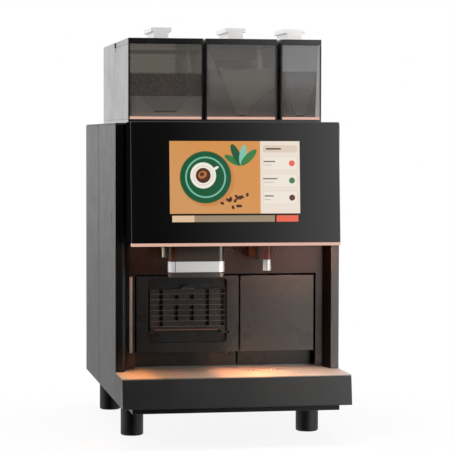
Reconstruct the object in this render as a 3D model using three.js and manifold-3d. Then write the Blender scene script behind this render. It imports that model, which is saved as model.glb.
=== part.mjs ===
// Coffee vending machine: a counter-top bean-to-cup dispenser with a touch screen door, three hoppers on
// top, a height-adjustable coffee outlet, a hot water outlet and a drip tray.
// Lengths are in millimetres. X runs to the machine's right as its user sees it, Y runs to the back and
// Z runs up from the floor. Places are worked out from the plane of the two front columns, y = 0, and the
// whole machine is then moved so that its bounding box is centred on the origin in X and Y.
import * as THREE from "three";
import { mergeVertices } from "three/addons/utils/BufferGeometryUtils.js";
import Module from "manifold-3d";

const wasm = await Module();
wasm.setup();

// Body and general fits
const bodyWidth = 385;
const bodyDepth = 474;
const bodyTop = 537;
const sheet = 1.5;
const fit = 0.3;
const runningGap = 0.4;
const slidingGap = 1.5;
const overrun = 2;
const roundSides = 32;
const pinSides = 16;
const cornerSteps = 5;
const weldTolerance = 0.0001;

// Base pan and feet
const panUnderside = 57.9;
const panHeight = 9.8;
const panSideInset = 18;
const panReach = 84.5;
const panRearInset = 6;
const panWall = 2;
const footDiameter = 39.5;
const footChamfer = 2;
const footCollarDiameter = 34;
const footCollarHeight = 5;
const footSides = 24;
const footInset = 20;
const frontFootBack = 79;
const rearFootInset = 69;

// Side, rear and top panels
const columnFace = 13.5;
const recessDepth = 33;
const recessSplay = 8;
const sideSeam = 254;
const sideSeamGap = 1;
const rearReturn = 16;
const topSheet = 2;
const releaseSlotBack = 57;
const releaseSlotWidth = 2.6;
const releaseSlotBottom = 364;
const releaseSlotHeight = 23;
const ventCount = 9;
const ventColumns = 2;
const ventWidth = 96;
const ventHeight = 4;
const ventPitch = 12;
const ventBottom = 330;
const ventSpacing = 130;
const inletWidth = 24;
const inletHeight = 17;
const inletDepth = 16;
const inletWall = 3;
const inletX = -128;
const inletBottom = 96;
const inletPin = 4;
const inletPinWidth = 2;
const inletPinLength = 11;
const inletPinSpacing = 7;

// Power switch
const switchX = -84;
const switchWidth = 20;
const switchHeight = 26;
const switchDepth = 9;
const switchProud = 1.2;
const switchRake = 1.5;
const switchPinRadius = 1.5;
const switchPinLength = 2;
const switchBezel = 2.5;

// Front frame of the recess
const frameThickness = 2;
const stileLeft = 14.8;
const stileRight = 12;
const frameStripInset = 5.9;
const frameStripWidth = 5.1;
const frameStripProud = 0.8;

// Drawers
const drawerSplitX = 25.25;
const drawerGap = 3.2;
const drawerTop = 276.6;
const drawerLipBottom = 146.2;
const drawerFrontThickness = 14;
const gripDepth = 26;
const gripWall = 2;
const gripWeb = 3;
const binRearGap = 60.7;
const binTop = 262;
const binWall = 2;
const binSideInset = 2.8;
const deckRise = 1.2;

// Cup shelf on the left drawer
const pocketLeftMargin = 20;
const pocketRightMargin = 20.5;
const pocketBottom = 162.8;
const pocketTop = 272;
const pocketDepth = 10;
const pocketRadius = 6;
const shelfMargin = 3;
const shelfBottom = 184;
const shelfTop = 255;
const shelfThickness = 8;
const shelfProud = 2;
const shelfLeftRim = 15;
const shelfRightRim = 1.2;
const shelfBottomRim = 6.6;
const shelfBar = 1.8;
const shelfGroove = 1;
const shelfGrooveDepth = 1.2;
const shelfRows = 7;
const shelfColumns = 5;
const shelfSlotShare = 0.265;
const shelfInnerColumns = [1, 2];
const shelfClosedRows = [0, 4, 6];
const shelfLip = 1.6;
const shelfLipHeight = 3.4;
const shelfTabWidth = 23;
const shelfTabHeight = 6.4;
const shelfTabThickness = 4;
const shelfPinDrop = 4;
const shelfPinRadius = 2.5;
const shelfPinLength = 4.5;
const shelfArm = 8;

// Drip tray
const trayReach = 101;
const trayLean = 7;
const trayTop = 118;
const trayWall = 2.6;
const trayFloor = 2.4;
const trayPlate = 2;
const drainSlots = 8;
const drainSlotWidth = 3.6;
const drainSlotLength = 9;
const drainPitch = 7;
const drainBack = -2;

// Front door
const doorSideGap = 3.5;
const doorRise = 2;
const doorBottom = 333.7;
const doorTopReach = 67.5;
const doorBottomReach = 82.6;
const doorBack = -3;
const doorGlass = 4;
const doorWeb = 2;
const doorWall = 2.5;
const doorSetback = 0.8;
const lightBarHeight = 4.8;
const lightBarDepth = 12;
const lightBarSetback = 0.4;
const displayLeft = -117;
const displayRight = 112.5;
const displayBottomMargin = 35.3;
const displayTopMargin = 27.5;
const displayDepth = 10;
const hingeInset = 7.5;
const hingeSetback = 7;
const hingeRodRadius = 3;
const hingeRodInset = 9;
const hingeArmThickness = 3.5;
const hingeArmWidth = 8;
const hingeNotchMargin = 1.5;
const hingeNotchReach = 22;
const knuckleHeight = 22;
const knuckleWidth = 13;
const knuckleDepth = 15;

// Coffee outlet
const outletX = -62.6;
const outletWidth = 95;
const outletBackWidth = 62;
const outletFront = -56;
const outletBack = 15;
const outletRadius = 11;
const outletBottom = 280.6;
const outletBandBottom = 289.3;
const outletBandTop = 306.7;
const outletBandWall = 2;
const outletTop = 425;
const outletSpoutRadius = 4;
const outletSpoutSpacing = 30;
const outletSpoutDepth = 12;
const outletSpoutY = -30;
const railWidth = 39;
const railThickness = 5;
const railBottom = 283;
const railTopDrop = 67;
const shoeBottom = 345;
const shoeWidth = 47;

// Side and water nozzles
const steamX = -109.9;
const steamY = -8.5;
const steamRadius = 5.2;
const steamBottom = 311.6;
const steamTop = 352;
const steamArmRadius = 4;
const steamBoreRadius = 2.8;
const steamBoreDepth = 10;
const waterX = 53.9;
const waterWidth = 25.8;
const waterFront = -50;
const waterBracketBottom = 309;
const waterBracketTop = 350;
const waterNozzleX = 59;
const waterNozzleY = -38;
const waterNozzleRadius = 6.7;
const waterNozzleBottom = 289.7;
const waterStemRadius = 4;
const waterStemLength = 14;
const waterBoreRadius = 2.5;

// Hoppers
const hopperFront = 31;
const hopperRearInset = 72;
const hopperSideInset = 25.5;
const beanHopperShare = 0.3973;
const centreHopperShare = 0.3833;
const leftHopperGap = 4.3;
const rightHopperGap = 7;
const hopperPad = 6.5;
const hopperWall = 2.5;
const hopperFloor = 3;
const hopperWindow = 3;
const hopperLightHeight = 4.2;
const hopperLightDepth = 7;
const funnelRise = 63;
const troughRise = 26;
const troughRadius = 14;
const beanThroatRadius = 18;
const powderThroatRadius = 15;
const throatWall = 2.5;
const beanThroatY = 150;
const powderThroatY = 64;
const throatDrop = 24;
const centreTroughShift = 2.5;
const rightWallSlant = 8;

// Hopper lids
const lidRise = 134.4;
const lidThickness = 9.6;
const lidLength = 180;
const lidPivotDepth = 4.4;
const lidSwingRoom = 2;
const lidDeckGap = 2;
const lidWellGap = 1;
const lidRodRadius = 3;
const lidRodInset = 1;
const handleFrontInset = 56;
const handleLength = 93;
const handleWidth = 35.7;
const handlePlate = 8.3;
const handleStemWidth = 25.5;
const handleStemHeight = 13.1;

// Powder augers
const augerRadius = 12.5;
const augerShaftRadius = 4;
const augerFlight = 3;
const augerTurns = 5;
const augerStepsPerTurn = 12;
const augerEndInset = 6;

// Inner chassis
const chassisSheet = 2;
const chassisSideInset = 4.7;
const bulkheadRearInset = 174;
const innerShelfBottom = 284;
const chuteWidth = 80;
const chuteDepth = 70;

// Grinder
const grinderRadius = 45;
const grinderDrop = 101;
const grinderHeight = 84;
const grinderNeckRadius = 27;
const burrChamberRadius = 36;
const burrChamberRise = 26;
const burrChamberHeight = 36;
const burrRadius = 33;
const burrHeight = 22;
const burrClearance = 3;
const burrShaftRadius = 5;
const burrShaftDrop = 16;
const grinderChuteRadius = 12;

// Brew unit
const brewX = -61.5;
const brewY = 130;
const brewRadius = 34;
const brewBoreRadius = 28;
const brewHeight = 100;
const brewFloor = 10;
const pistonHeight = 14;
const pistonRise = 42;
const pistonRodRadius = 6;
const pistonRodLength = 48;
const pistonHeadWidth = 50;
const pistonHeadHeight = 8;

// Water heater and pump
const heaterRadius = 48;
const heaterX = -92;
const heaterRearInset = 88;
const heaterHeight = 250;
const heaterCapHeight = 14;
const heaterPipeRadius = 6;
const heaterPipeHeight = 30;
const pumpX = 60;
const pumpRearInset = 88;
const pumpWidth = 70;
const pumpDepth = 60;
const pumpBase = 12;
const pumpRadius = 25;
const pumpPortRadius = 7;
const pumpPortHeight = 34;

// Powder mixer
const mixerDepth = 60;
const mixerTopDrop = 32;
const mixerFunnelHeight = 95;
const mixerWall = 2.5;
const mixerMouthMargin = 6;
const mixerAxisDrop = 28;
const mixerChamberRadius = 30;
const mixerSpoutRadius = 7;
const mixerSpoutDrop = 18;
const whiskRadius = 20;
const whiskThickness = 5;
const whiskBlades = 6;
const whiskBladeWidth = 5;
const whiskShaftRadius = 3;
const whiskShaftReach = 26;

const halfBody = bodyWidth / 2;
const panWidth = bodyWidth - panSideInset * 2;
const panTop = panUnderside + panHeight;
const panFloor = panUnderside + panWall;
const panBack = bodyDepth - panRearInset;
const skirt = panTop + fit;
const columnInner = halfBody - columnFace;
const recessHalf = columnInner - recessSplay;
const panelTop = bodyTop - topSheet - fit;
const frameFront = recessDepth;
const frameBack = frameFront + frameThickness;
const frameHalf = recessHalf - fit;
const chassisHalf = frameHalf - chassisSideInset;
const bulkheadY = bodyDepth - bulkheadRearInset;
const hopperBack = bodyDepth - hopperRearInset;
const doorTop = bodyTop + doorRise;
const lidBottom = bodyTop + lidRise;
const grinderBottom = bodyTop - grinderDrop;
const middle = ([low, high]) => (low + high) / 2;

const finishes = {
  panel: { color: 0x4a4a4c, roughness: 0.55, metalness: 0.3 },
  darkPanel: { color: 0x2b2928, roughness: 0.5, metalness: 0.2 },
  plastic: { color: 0x1c1c1d, roughness: 0.6, metalness: 0 },
  glass: { color: 0x0c0c0d, roughness: 0.08, metalness: 0 },
  smoked: { color: 0x55524e, roughness: 0.1, metalness: 0 },
  glow: { color: 0xffb29c, roughness: 0.4, metalness: 0 },
  screen: { color: 0xdc9850, roughness: 0.3, metalness: 0 },
  steel: { color: 0xb9b4ad, roughness: 0.3, metalness: 1 },
  chrome: { color: 0xe4e4e6, roughness: 0.12, metalness: 1 },
  rubber: { color: 0x161616, roughness: 0.85, metalness: 0 },
  copper: { color: 0xb87a50, roughness: 0.35, metalness: 1 },
};

// A closed geometry as a solid that can be joined and cut, turned outwards if it was wound inwards.
function solidFrom(geometry) {
  const bare = geometry.index ? geometry.toNonIndexed() : geometry.clone();
  bare.deleteAttribute("normal");
  bare.deleteAttribute("uv");
  const merged = mergeVertices(bare, weldTolerance);
  const vertProperties = new Float32Array(merged.attributes.position.array);
  const triVerts = new Uint32Array(merged.index.array);
  const solid = new wasm.Manifold(new wasm.Mesh({ numProp: 3, vertProperties, triVerts }));
  if (solid.volume() > 0) {
    return solid;
  }
  for (let i = 0; i < triVerts.length; i += 3) {
    [triVerts[i + 1], triVerts[i + 2]] = [triVerts[i + 2], triVerts[i + 1]];
  }
  return new wasm.Manifold(new wasm.Mesh({ numProp: 3, vertProperties, triVerts }));
}

function piece(name, solid, finish) {
  const cut = solid.getMesh();
  const indexed = new THREE.BufferGeometry();
  indexed.setAttribute("position", new THREE.BufferAttribute(cut.vertProperties, 3));
  indexed.setIndex(new THREE.BufferAttribute(cut.triVerts, 1));
  const geometry = indexed.toNonIndexed();
  geometry.computeVertexNormals();
  const mesh = new THREE.Mesh(geometry, new THREE.MeshStandardMaterial(finishes[finish]));
  mesh.name = name;
  return mesh;
}

function joined(solids) {
  return solids.reduce((whole, solid) => whole.add(solid));
}

function block([x0, x1], [y0, y1], [z0, z1]) {
  const geometry = new THREE.BoxGeometry(x1 - x0, y1 - y0, z1 - z0);
  geometry.translate((x0 + x1) / 2, (y0 + y1) / 2, (z0 + z1) / 2);
  return solidFrom(geometry);
}

// A round bar along an axis, from one place on it to another, with its centre line through a point.
function bar(axis, radius, [from, to], [x, y, z], sides = roundSides) {
  const geometry = new THREE.CylinderGeometry(radius, radius, to - from, sides);
  geometry.translate(0, (from + to) / 2, 0);
  if (axis === "x") {
    geometry.rotateZ(-Math.PI / 2);
  }
  if (axis === "z") {
    geometry.rotateX(Math.PI / 2);
  }
  geometry.translate(x, y, z);
  return solidFrom(geometry);
}

// An outline drawn across an axis and drawn out along it: (x, y) along z, (y, z) along x, (x, z) along y.
function prism(axis, outline, [from, to]) {
  const shape = Array.isArray(outline)
    ? new THREE.Shape(outline.map(([u, v]) => new THREE.Vector2(u, v)))
    : outline;
  const options = { depth: to - from, bevelEnabled: false, curveSegments: cornerSteps };
  const geometry = new THREE.ExtrudeGeometry(shape, options);
  if (axis === "z") {
    geometry.translate(0, 0, from);
  }
  if (axis === "x") {
    const turned = new THREE.Matrix4().set(0, 0, 1, from, 1, 0, 0, 0, 0, 1, 0, 0, 0, 0, 0, 1);
    geometry.applyMatrix4(turned);
  }
  if (axis === "y") {
    geometry.rotateX(Math.PI / 2);
    geometry.translate(0, to, 0);
  }
  return solidFrom(geometry);
}

// A profile of [radius, height] points turned about a vertical axis through a point.
function turned(profile, [x, y, z], sides = roundSides) {
  const points = profile.map(([radius, height]) => new THREE.Vector2(radius, height));
  const geometry = new THREE.LatheGeometry(points, sides);
  geometry.rotateX(Math.PI / 2);
  geometry.translate(x, y, z);
  return solidFrom(geometry);
}

// The outline round a ring of arc centres, given counter-clockwise.
function outlineRound(centres, radius) {
  const shape = new THREE.Shape();
  centres.forEach(([u, v], i) => {
    const before = centres[(i + centres.length - 1) % centres.length];
    const after = centres[(i + 1) % centres.length];
    const from = Math.atan2(v - before[1], u - before[0]) - Math.PI / 2;
    const to = Math.atan2(after[1] - v, after[0] - u) - Math.PI / 2;
    shape.absarc(u, v, radius, from, to);
  });
  return shape;
}

function roundedOutline([u0, u1], [v0, v1], radius) {
  const [left, right, low, high] = [u0 + radius, u1 - radius, v0 + radius, v1 - radius];
  return outlineRound(
    [
      [left, low],
      [right, low],
      [right, high],
      [left, high],
    ],
    radius,
  );
}

// The closed outline of a folded sheet: the path of its outer face and, on the left, its inner face.
function foldedOutline(path, thickness) {
  const normals = path.slice(1).map(([u, v], i) => {
    const [du, dv] = [u - path[i][0], v - path[i][1]];
    const length = Math.hypot(du, dv);
    return [-dv / length, du / length];
  });
  const inner = path.map(([u, v], i) => {
    const [au, av] = normals[Math.max(i - 1, 0)];
    const [bu, bv] = normals[Math.min(i, normals.length - 1)];
    const share = thickness / (1 + au * bu + av * bv);
    return [u + (au + bu) * share, v + (av + bv) * share];
  });
  return [...path, ...inner.reverse()];
}

const mirrored = (outline, side) => outline.map(([x, y]) => [x * side, y]);

// Base: a folded pan on four feet, and the chassis that stands in it

function makeBase() {
  const pan = block([-panWidth / 2, panWidth / 2], [-panReach, panBack], [panUnderside, panTop]).subtract(
    block(
      [-panWidth / 2 + panWall, panWidth / 2 - panWall],
      [-panReach + panWall, panBack - panWall],
      [panFloor, panTop + overrun],
    ),
  );
  const footHeight = panUnderside - fit;
  const footRadius = footDiameter / 2;
  const profile = [
    [0, 0],
    [footRadius - footChamfer, 0],
    [footRadius, footChamfer],
    [footRadius, footHeight - footCollarHeight],
    [footCollarDiameter / 2, footHeight - footCollarHeight],
    [footCollarDiameter / 2, footHeight],
    [0, footHeight],
  ];
  const feet = [-1, 1].flatMap((side) =>
    [frontFootBack, bodyDepth - rearFootInset].map((y, row) => {
      const name = `foot_${row ? "rear" : "front"}_${side < 0 ? "left" : "right"}`;
      return piece(name, turned(profile, [side * (panWidth / 2 - footInset), y, 0], footSides), "rubber");
    }),
  );
  return [piece("base_pan", pan, "darkPanel"), ...feet];
}

const deckTop = trayTop + deckRise;
const drawerBottom = deckTop + fit;
const chassisFront = frameBack + fit;
const bulkheadBack = bulkheadY + chassisSheet;
const innerShelfTop = innerShelfBottom + chassisSheet;

function makeChassis() {
  const upright = [panFloor + fit, panelTop];
  const sides = [-1, 1].map((side) =>
    block(
      side < 0 ? [-chassisHalf, -chassisHalf + chassisSheet] : [chassisHalf - chassisSheet, chassisHalf],
      [chassisFront, bulkheadBack],
      upright,
    ),
  );
  const across = [-chassisHalf, chassisHalf];
  const deckFront = frameFront + gripDepth + slidingGap;
  const deck = block(across, [deckFront, bulkheadBack], [deckTop - chassisSheet, deckTop]);
  const shelf = block(across, [chassisFront, bulkheadBack], [innerShelfBottom, innerShelfTop]);
  const chute = block(
    [brewX - chuteWidth / 2, brewX + chuteWidth / 2],
    [brewY + brewRadius + slidingGap, brewY + brewRadius + slidingGap + chuteDepth],
    [innerShelfBottom - overrun, innerShelfTop + overrun],
  );
  const bulkhead = block(across, [bulkheadY, bulkheadBack], upright);
  const chassis = joined([...sides, deck, shelf.subtract(chute), bulkhead]);
  return piece("chassis_frame", chassis, "steel");
}

// Panels: folded side sheets, rear panel with vents, inlet and switch, top panel and recess frame

function makeSidePanels() {
  const frontPath = [
    [recessHalf, recessDepth],
    [columnInner, 0],
    [halfBody, 0],
    [halfBody, sideSeam - sideSeamGap / 2],
  ];
  const rearPath = [
    [halfBody, sideSeam + sideSeamGap / 2],
    [halfBody, bodyDepth],
    [halfBody - rearReturn, bodyDepth],
  ];
  const height = [skirt, panelTop];
  const releaseSlot = block(
    [-halfBody - overrun, -halfBody + sheet + overrun],
    [releaseSlotBack - releaseSlotWidth / 2, releaseSlotBack + releaseSlotWidth / 2],
    [releaseSlotBottom, releaseSlotBottom + releaseSlotHeight],
  );
  return [-1, 1].flatMap((side) => {
    const hand = side < 0 ? "left" : "right";
    const front = prism("z", mirrored(foldedOutline(frontPath, sheet), side), height);
    const rear = prism("z", mirrored(foldedOutline(rearPath, sheet), side), height);
    return [
      piece(`side_panel_front_${hand}`, side < 0 ? front.subtract(releaseSlot) : front, "panel"),
      piece(`side_panel_rear_${hand}`, rear, "panel"),
    ];
  });
}

const rearFace = bodyDepth - sheet - fit;
const rearInside = rearFace - sheet;
const switchBottom = inletBottom + (inletHeight - switchHeight) / 2;
const switchMiddle = switchBottom + switchHeight / 2;
const switchPivotY = rearFace - switchDepth / 2;

function makeRearPanel() {
  const half = halfBody - sheet - fit;
  const blank = block([-half, half], [rearInside, rearFace], [skirt, panelTop]);
  const through = [rearInside - overrun, rearFace + overrun];
  const vents = [];
  for (let column = 0; column < ventColumns; column += 1) {
    for (let row = 0; row < ventCount; row += 1) {
      const x = (column - (ventColumns - 1) / 2) * ventSpacing;
      const z = ventBottom + row * ventPitch;
      vents.push(block([x - ventWidth / 2, x + ventWidth / 2], through, [z, z + ventHeight]));
    }
  }
  const inlet = [inletX - inletWidth / 2, inletX + inletWidth / 2];
  const inletZ = [inletBottom, inletBottom + inletHeight];
  const inletFloor = rearFace - inletDepth;
  const inletBody = block(
    [inlet[0] - inletWall, inlet[1] + inletWall],
    [inletFloor - inletWall, rearInside],
    [inletZ[0] - inletWall, inletZ[1] + inletWall],
  );
  const inletMouth = block(inlet, [inletFloor, rearFace + overrun], inletZ);
  const pins = [-1, 0, 1].map((place) => {
    const x = inletX + place * inletPinSpacing;
    const z = inletBottom + inletHeight / 2 + (place ? -1 : 1) * inletPinWidth;
    return block(
      [x - inletPinWidth / 2, x + inletPinWidth / 2],
      [inletFloor - inletWall / 2, inletFloor + inletPinLength],
      [z - inletPin / 2, z + inletPin / 2],
    );
  });
  const well = [switchX - switchWidth / 2 - fit, switchX + switchWidth / 2 + fit];
  const wellZ = [switchBottom - fit, switchBottom + switchHeight + fit];
  const wellBody = block(
    [well[0] - switchBezel, well[1] + switchBezel],
    [rearFace - switchDepth, rearInside],
    [wellZ[0] - switchBezel, wellZ[1] + switchBezel],
  );
  const wellMouth = block(well, [rearFace - switchDepth - overrun, rearFace + overrun], wellZ);
  const pinHole = bar(
    "x",
    switchPinRadius + runningGap,
    [well[0] - switchPinLength - fit, well[1] + switchPinLength + fit],
    [0, switchPivotY, switchMiddle],
    pinSides,
  );
  const cuts = joined([...vents, inletMouth, wellMouth, pinHole]);
  const panel = joined([blank, inletBody, wellBody]).subtract(cuts);
  return piece("rear_panel", joined([panel, ...pins]), "panel");
}

function makePowerSwitch() {
  const half = switchHeight / 2 - switchRake;
  const front = rearFace + switchProud;
  const outline = [
    [switchPivotY, switchMiddle - half],
    [front - switchRake, switchMiddle - half],
    [front - switchProud, switchMiddle],
    [front, switchMiddle + half],
    [switchPivotY, switchMiddle + half],
    [switchPivotY - switchPinRadius, switchMiddle],
  ];
  const reach = switchWidth / 2;
  const rocker = prism("x", outline, [switchX - reach, switchX + reach]);
  const pin = bar(
    "x",
    switchPinRadius,
    [switchX - reach - switchPinLength, switchX + reach + switchPinLength],
    [0, switchPivotY, switchMiddle],
    pinSides,
  );
  return piece("power_switch", rocker.add(pin), "plastic");
}

function makeRecessFrame() {
  const blank = block([-frameHalf, frameHalf], [frameFront, frameBack], [deckTop, panelTop]);
  const opening = block(
    [-frameHalf + stileLeft, frameHalf - stileRight],
    [frameFront - overrun, frameBack + overrun],
    [deckTop - overrun, drawerTop + drawerGap],
  );
  const strip = block(
    [-frameHalf + frameStripInset, -frameHalf + frameStripInset + frameStripWidth],
    [frameFront - frameStripProud, frameFront],
    [drawerLipBottom, drawerTop],
  );
  return piece("recess_frame", blank.subtract(opening).add(strip), "darkPanel");
}

// The door release: a bar that slides inside the left column, with its thumb blade in the side slot

function makeDoorRelease() {
  const skinInside = -halfBody + sheet + fit;
  const slider = block(
    [skinInside, skinInside + releaseSlotWidth],
    [releaseSlotBack - releaseSlotHeight, releaseSlotBack + releaseSlotHeight],
    [releaseSlotBottom - releaseSlotHeight, releaseSlotBottom + releaseSlotHeight * 2],
  );
  const blade = block(
    [-halfBody + fit, skinInside + releaseSlotWidth],
    [releaseSlotBack - releaseSlotWidth / 2 + fit, releaseSlotBack + releaseSlotWidth / 2 - fit],
    [releaseSlotBottom + fit, releaseSlotBottom + releaseSlotHeight / 2],
  );
  return piece("door_release_slider", slider.add(blade), "plastic");
}

// Drip tray: a deep front wing, a tongue between the columns and a steel plate on top

function trayPlan(inset) {
  const wing = halfBody - inset;
  const front = -trayReach - overrun;
  const tongueBack = frameFront + gripDepth - slidingGap - inset;
  const tongueHalf = chassisHalf - chassisSheet - slidingGap - inset;
  const wingBack = -slidingGap - inset;
  const half = [
    [columnInner - slidingGap - inset, wingBack],
    [recessHalf - slidingGap - inset, frameFront],
    [tongueHalf, frameFront],
    [tongueHalf, tongueBack],
  ];
  const left = half.map(([x, y]) => [-x, y]).reverse();
  return [[-wing, front], [wing, front], [wing, wingBack], ...half, ...left, [-wing, wingBack]];
}

const trayRim = trayTop - trayPlate - fit;
const trayFrontAt = (z) => -trayReach + (trayLean * (z - skirt)) / (trayTop - skirt);

function trayWedge(inset, [z0, z1]) {
  const back = frameFront + gripDepth + overrun;
  const outline = [
    [trayFrontAt(z0) + inset, z0],
    [trayFrontAt(z1) + inset, z1],
    [back, z1],
    [back, z0],
  ];
  return prism("x", outline, [-halfBody, halfBody]);
}

function makeDripTray() {
  const outer = trayWedge(0, [skirt, trayRim]).intersect(prism("z", trayPlan(0), [skirt, trayRim]));
  const hollow = [skirt + trayFloor, trayRim + overrun];
  const inner = trayWedge(trayWall, hollow).intersect(prism("z", trayPlan(trayWall), hollow));
  const plateZ = [trayTop - trayPlate, trayTop];
  const plate = trayWedge(0, plateZ).intersect(prism("z", trayPlan(0), plateZ));
  const slots = [outletX, waterNozzleX].flatMap((x) =>
    Array.from({ length: drainSlots }, (_, i) => {
      const centre = x + (i - (drainSlots - 1) / 2) * drainPitch;
      return block(
        [centre - drainSlotWidth / 2, centre + drainSlotWidth / 2],
        [drainBack - drainSlotLength, drainBack],
        [trayTop - trayPlate - overrun, trayTop + overrun],
      );
    }),
  );
  return [
    piece("drip_tray", outer.subtract(inner), "plastic"),
    piece("drip_plate", plate.subtract(joined(slots)), "steel"),
  ];
}

// Drawers: a front with a finger grip under its lip, and an open bin behind it

const drawers = {
  left: [-frameHalf + stileLeft + drawerGap, drawerSplitX - drawerGap / 2],
  right: [drawerSplitX + drawerGap / 2, frameHalf - stileRight - drawerGap],
};
const binFront = frameFront + gripDepth + gripWall + fit;
const gripBack = frameFront + gripDepth;
const pocketX = [drawers.left[0] + pocketLeftMargin, drawers.left[1] - pocketRightMargin];
const shelfPivotY = frameFront - shelfProud + shelfThickness / 2;
const shelfPivotZ = shelfBottom - shelfPinDrop;

function makeDrawerFront(x) {
  const face = block(x, [frameFront, frameFront + drawerFrontThickness], [drawerLipBottom, drawerTop]);
  const web = block(x, [frameFront, gripBack + gripWall], [drawerLipBottom, drawerLipBottom + gripWeb]);
  const grip = block(x, [gripBack, gripBack + gripWall], [drawerBottom, drawerLipBottom + gripWeb]);
  return joined([face, web, grip]);
}

function makeBin([x0, x1]) {
  const outer = [x0 + binSideInset, x1 - binSideInset];
  const back = bulkheadY - binRearGap;
  return block(outer, [binFront, back], [drawerBottom, binTop]).subtract(
    block(
      [outer[0] + binWall, outer[1] - binWall],
      [binFront + binWall, back - binWall],
      [drawerBottom + binWall, binTop + overrun],
    ),
  );
}

function makeDrawers() {
  const pocket = prism(
    "y",
    roundedOutline(pocketX, [pocketBottom, pocketTop], pocketRadius),
    [frameFront - overrun, frameFront + pocketDepth],
  );
  const pinHoles = bar(
    "x",
    shelfPinRadius + runningGap,
    [pocketX[0] - shelfPinLength, pocketX[1] + shelfPinLength],
    [0, shelfPivotY, shelfPivotZ],
    pinSides,
  );
  return [
    piece("grounds_drawer_front", makeDrawerFront(drawers.left).subtract(pocket.add(pinHoles)), "darkPanel"),
    piece("grounds_bin", makeBin(drawers.left), "plastic"),
    piece("tank_drawer_front", makeDrawerFront(drawers.right), "darkPanel"),
    piece("water_tank", makeBin(drawers.right), "smoked"),
  ];
}

// Cup shelf: a louvred grille that folds down from its pocket on two stub pins

function makeCupShelf() {
  const x = [pocketX[0] + shelfMargin, pocketX[1] - shelfMargin];
  const y = [frameFront - shelfProud, frameFront - shelfProud + shelfThickness];
  const plate = block(x, y, [shelfBottom, shelfTop]);
  const tabShape = new THREE.Shape();
  const tabX = middle(pocketX);
  tabShape.moveTo(tabX + shelfTabWidth / 2, shelfTop - shelfTabHeight);
  tabShape.lineTo(tabX + shelfTabWidth / 2, shelfTop);
  tabShape.absellipse(tabX, shelfTop, shelfTabWidth / 2, shelfTabHeight, 0, Math.PI);
  tabShape.lineTo(tabX - shelfTabWidth / 2, shelfTop - shelfTabHeight);
  const tab = prism("y", tabShape, [y[0], y[0] + shelfTabThickness]);
  const rowsBottom = shelfBottom + shelfBottomRim;
  const cellX = (x[1] - x[0] - shelfLeftRim - shelfRightRim) / (shelfColumns - 1 + shelfSlotShare);
  const cellZ = (shelfTop - rowsBottom) / shelfRows;
  const through = [y[0] - overrun, y[1] + overrun];
  const cuts = [];
  for (let row = 0; row < shelfRows; row += 1) {
    const low = rowsBottom + row * cellZ;
    cuts.push(block(x, [y[0] - overrun, y[0] + shelfGrooveDepth], [low - shelfGroove, low]));
    for (let column = 0; column < shelfColumns; column += 1) {
      if (!(shelfClosedRows.includes(row) && shelfInnerColumns.includes(column))) {
        const left = x[0] + shelfLeftRim + column * cellX;
        const slot = [left, left + cellX * shelfSlotShare];
        cuts.push(block(slot, through, [low + shelfBar / 2, low + cellZ - shelfBar / 2]));
      }
    }
  }
  const lip = block(
    [x[0] + shelfLip, x[1] - shelfLip],
    [y[0] - shelfLip, y[0] + shelfLip],
    [shelfBottom, shelfBottom + shelfLipHeight],
  );
  const arms = [
    [x[0], x[0] + shelfArm],
    [x[1] - shelfArm, x[1]],
  ].map((armX) =>
    block(
      armX,
      [shelfPivotY - shelfPinRadius, shelfPivotY + shelfPinRadius],
      [shelfPivotZ - shelfPinRadius, rowsBottom - shelfGroove],
    ),
  );
  const pins = [
    [x[0] - shelfPinLength, x[0] + shelfArm],
    [x[1] - shelfArm, x[1] + shelfPinLength],
  ].map((pinX) => bar("x", shelfPinRadius, pinX, [0, shelfPivotY, shelfPivotZ], pinSides));
  const grille = plate.add(tab).subtract(joined(cuts));
  return piece("cup_shelf", joined([grille, lip, ...arms, ...pins]), "plastic");
}

// Door: leaning glass, the shell behind it, the display, the light bar and the hinge rod

const doorLean = (doorBottomReach - doorTopReach) / (doorTop - doorBottom);
const doorFaceAt = (z) => -doorTopReach - (doorTop - z) * doorLean;
const doorHalf = columnInner - doorSideGap;
const hingeX = doorHalf - hingeInset;
const hingeY = doorBack - hingeSetback;
const glassBottom = doorBottom + lightBarHeight + fit;
const displayZ = [doorBottom + displayBottomMargin, doorTop - displayTopMargin];

function leaning(x, [depth0, depth1], [z0, z1]) {
  const outline = [
    [doorFaceAt(z0) + depth0, z0],
    [doorFaceAt(z0) + depth1, z0],
    [doorFaceAt(z1) + depth1, z1],
    [doorFaceAt(z1) + depth0, z1],
  ];
  return prism("x", outline, x);
}

const armHeights = [
  doorBottom + hingeRodInset,
  doorTop - hingeRodInset - hingeArmThickness,
];

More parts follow.
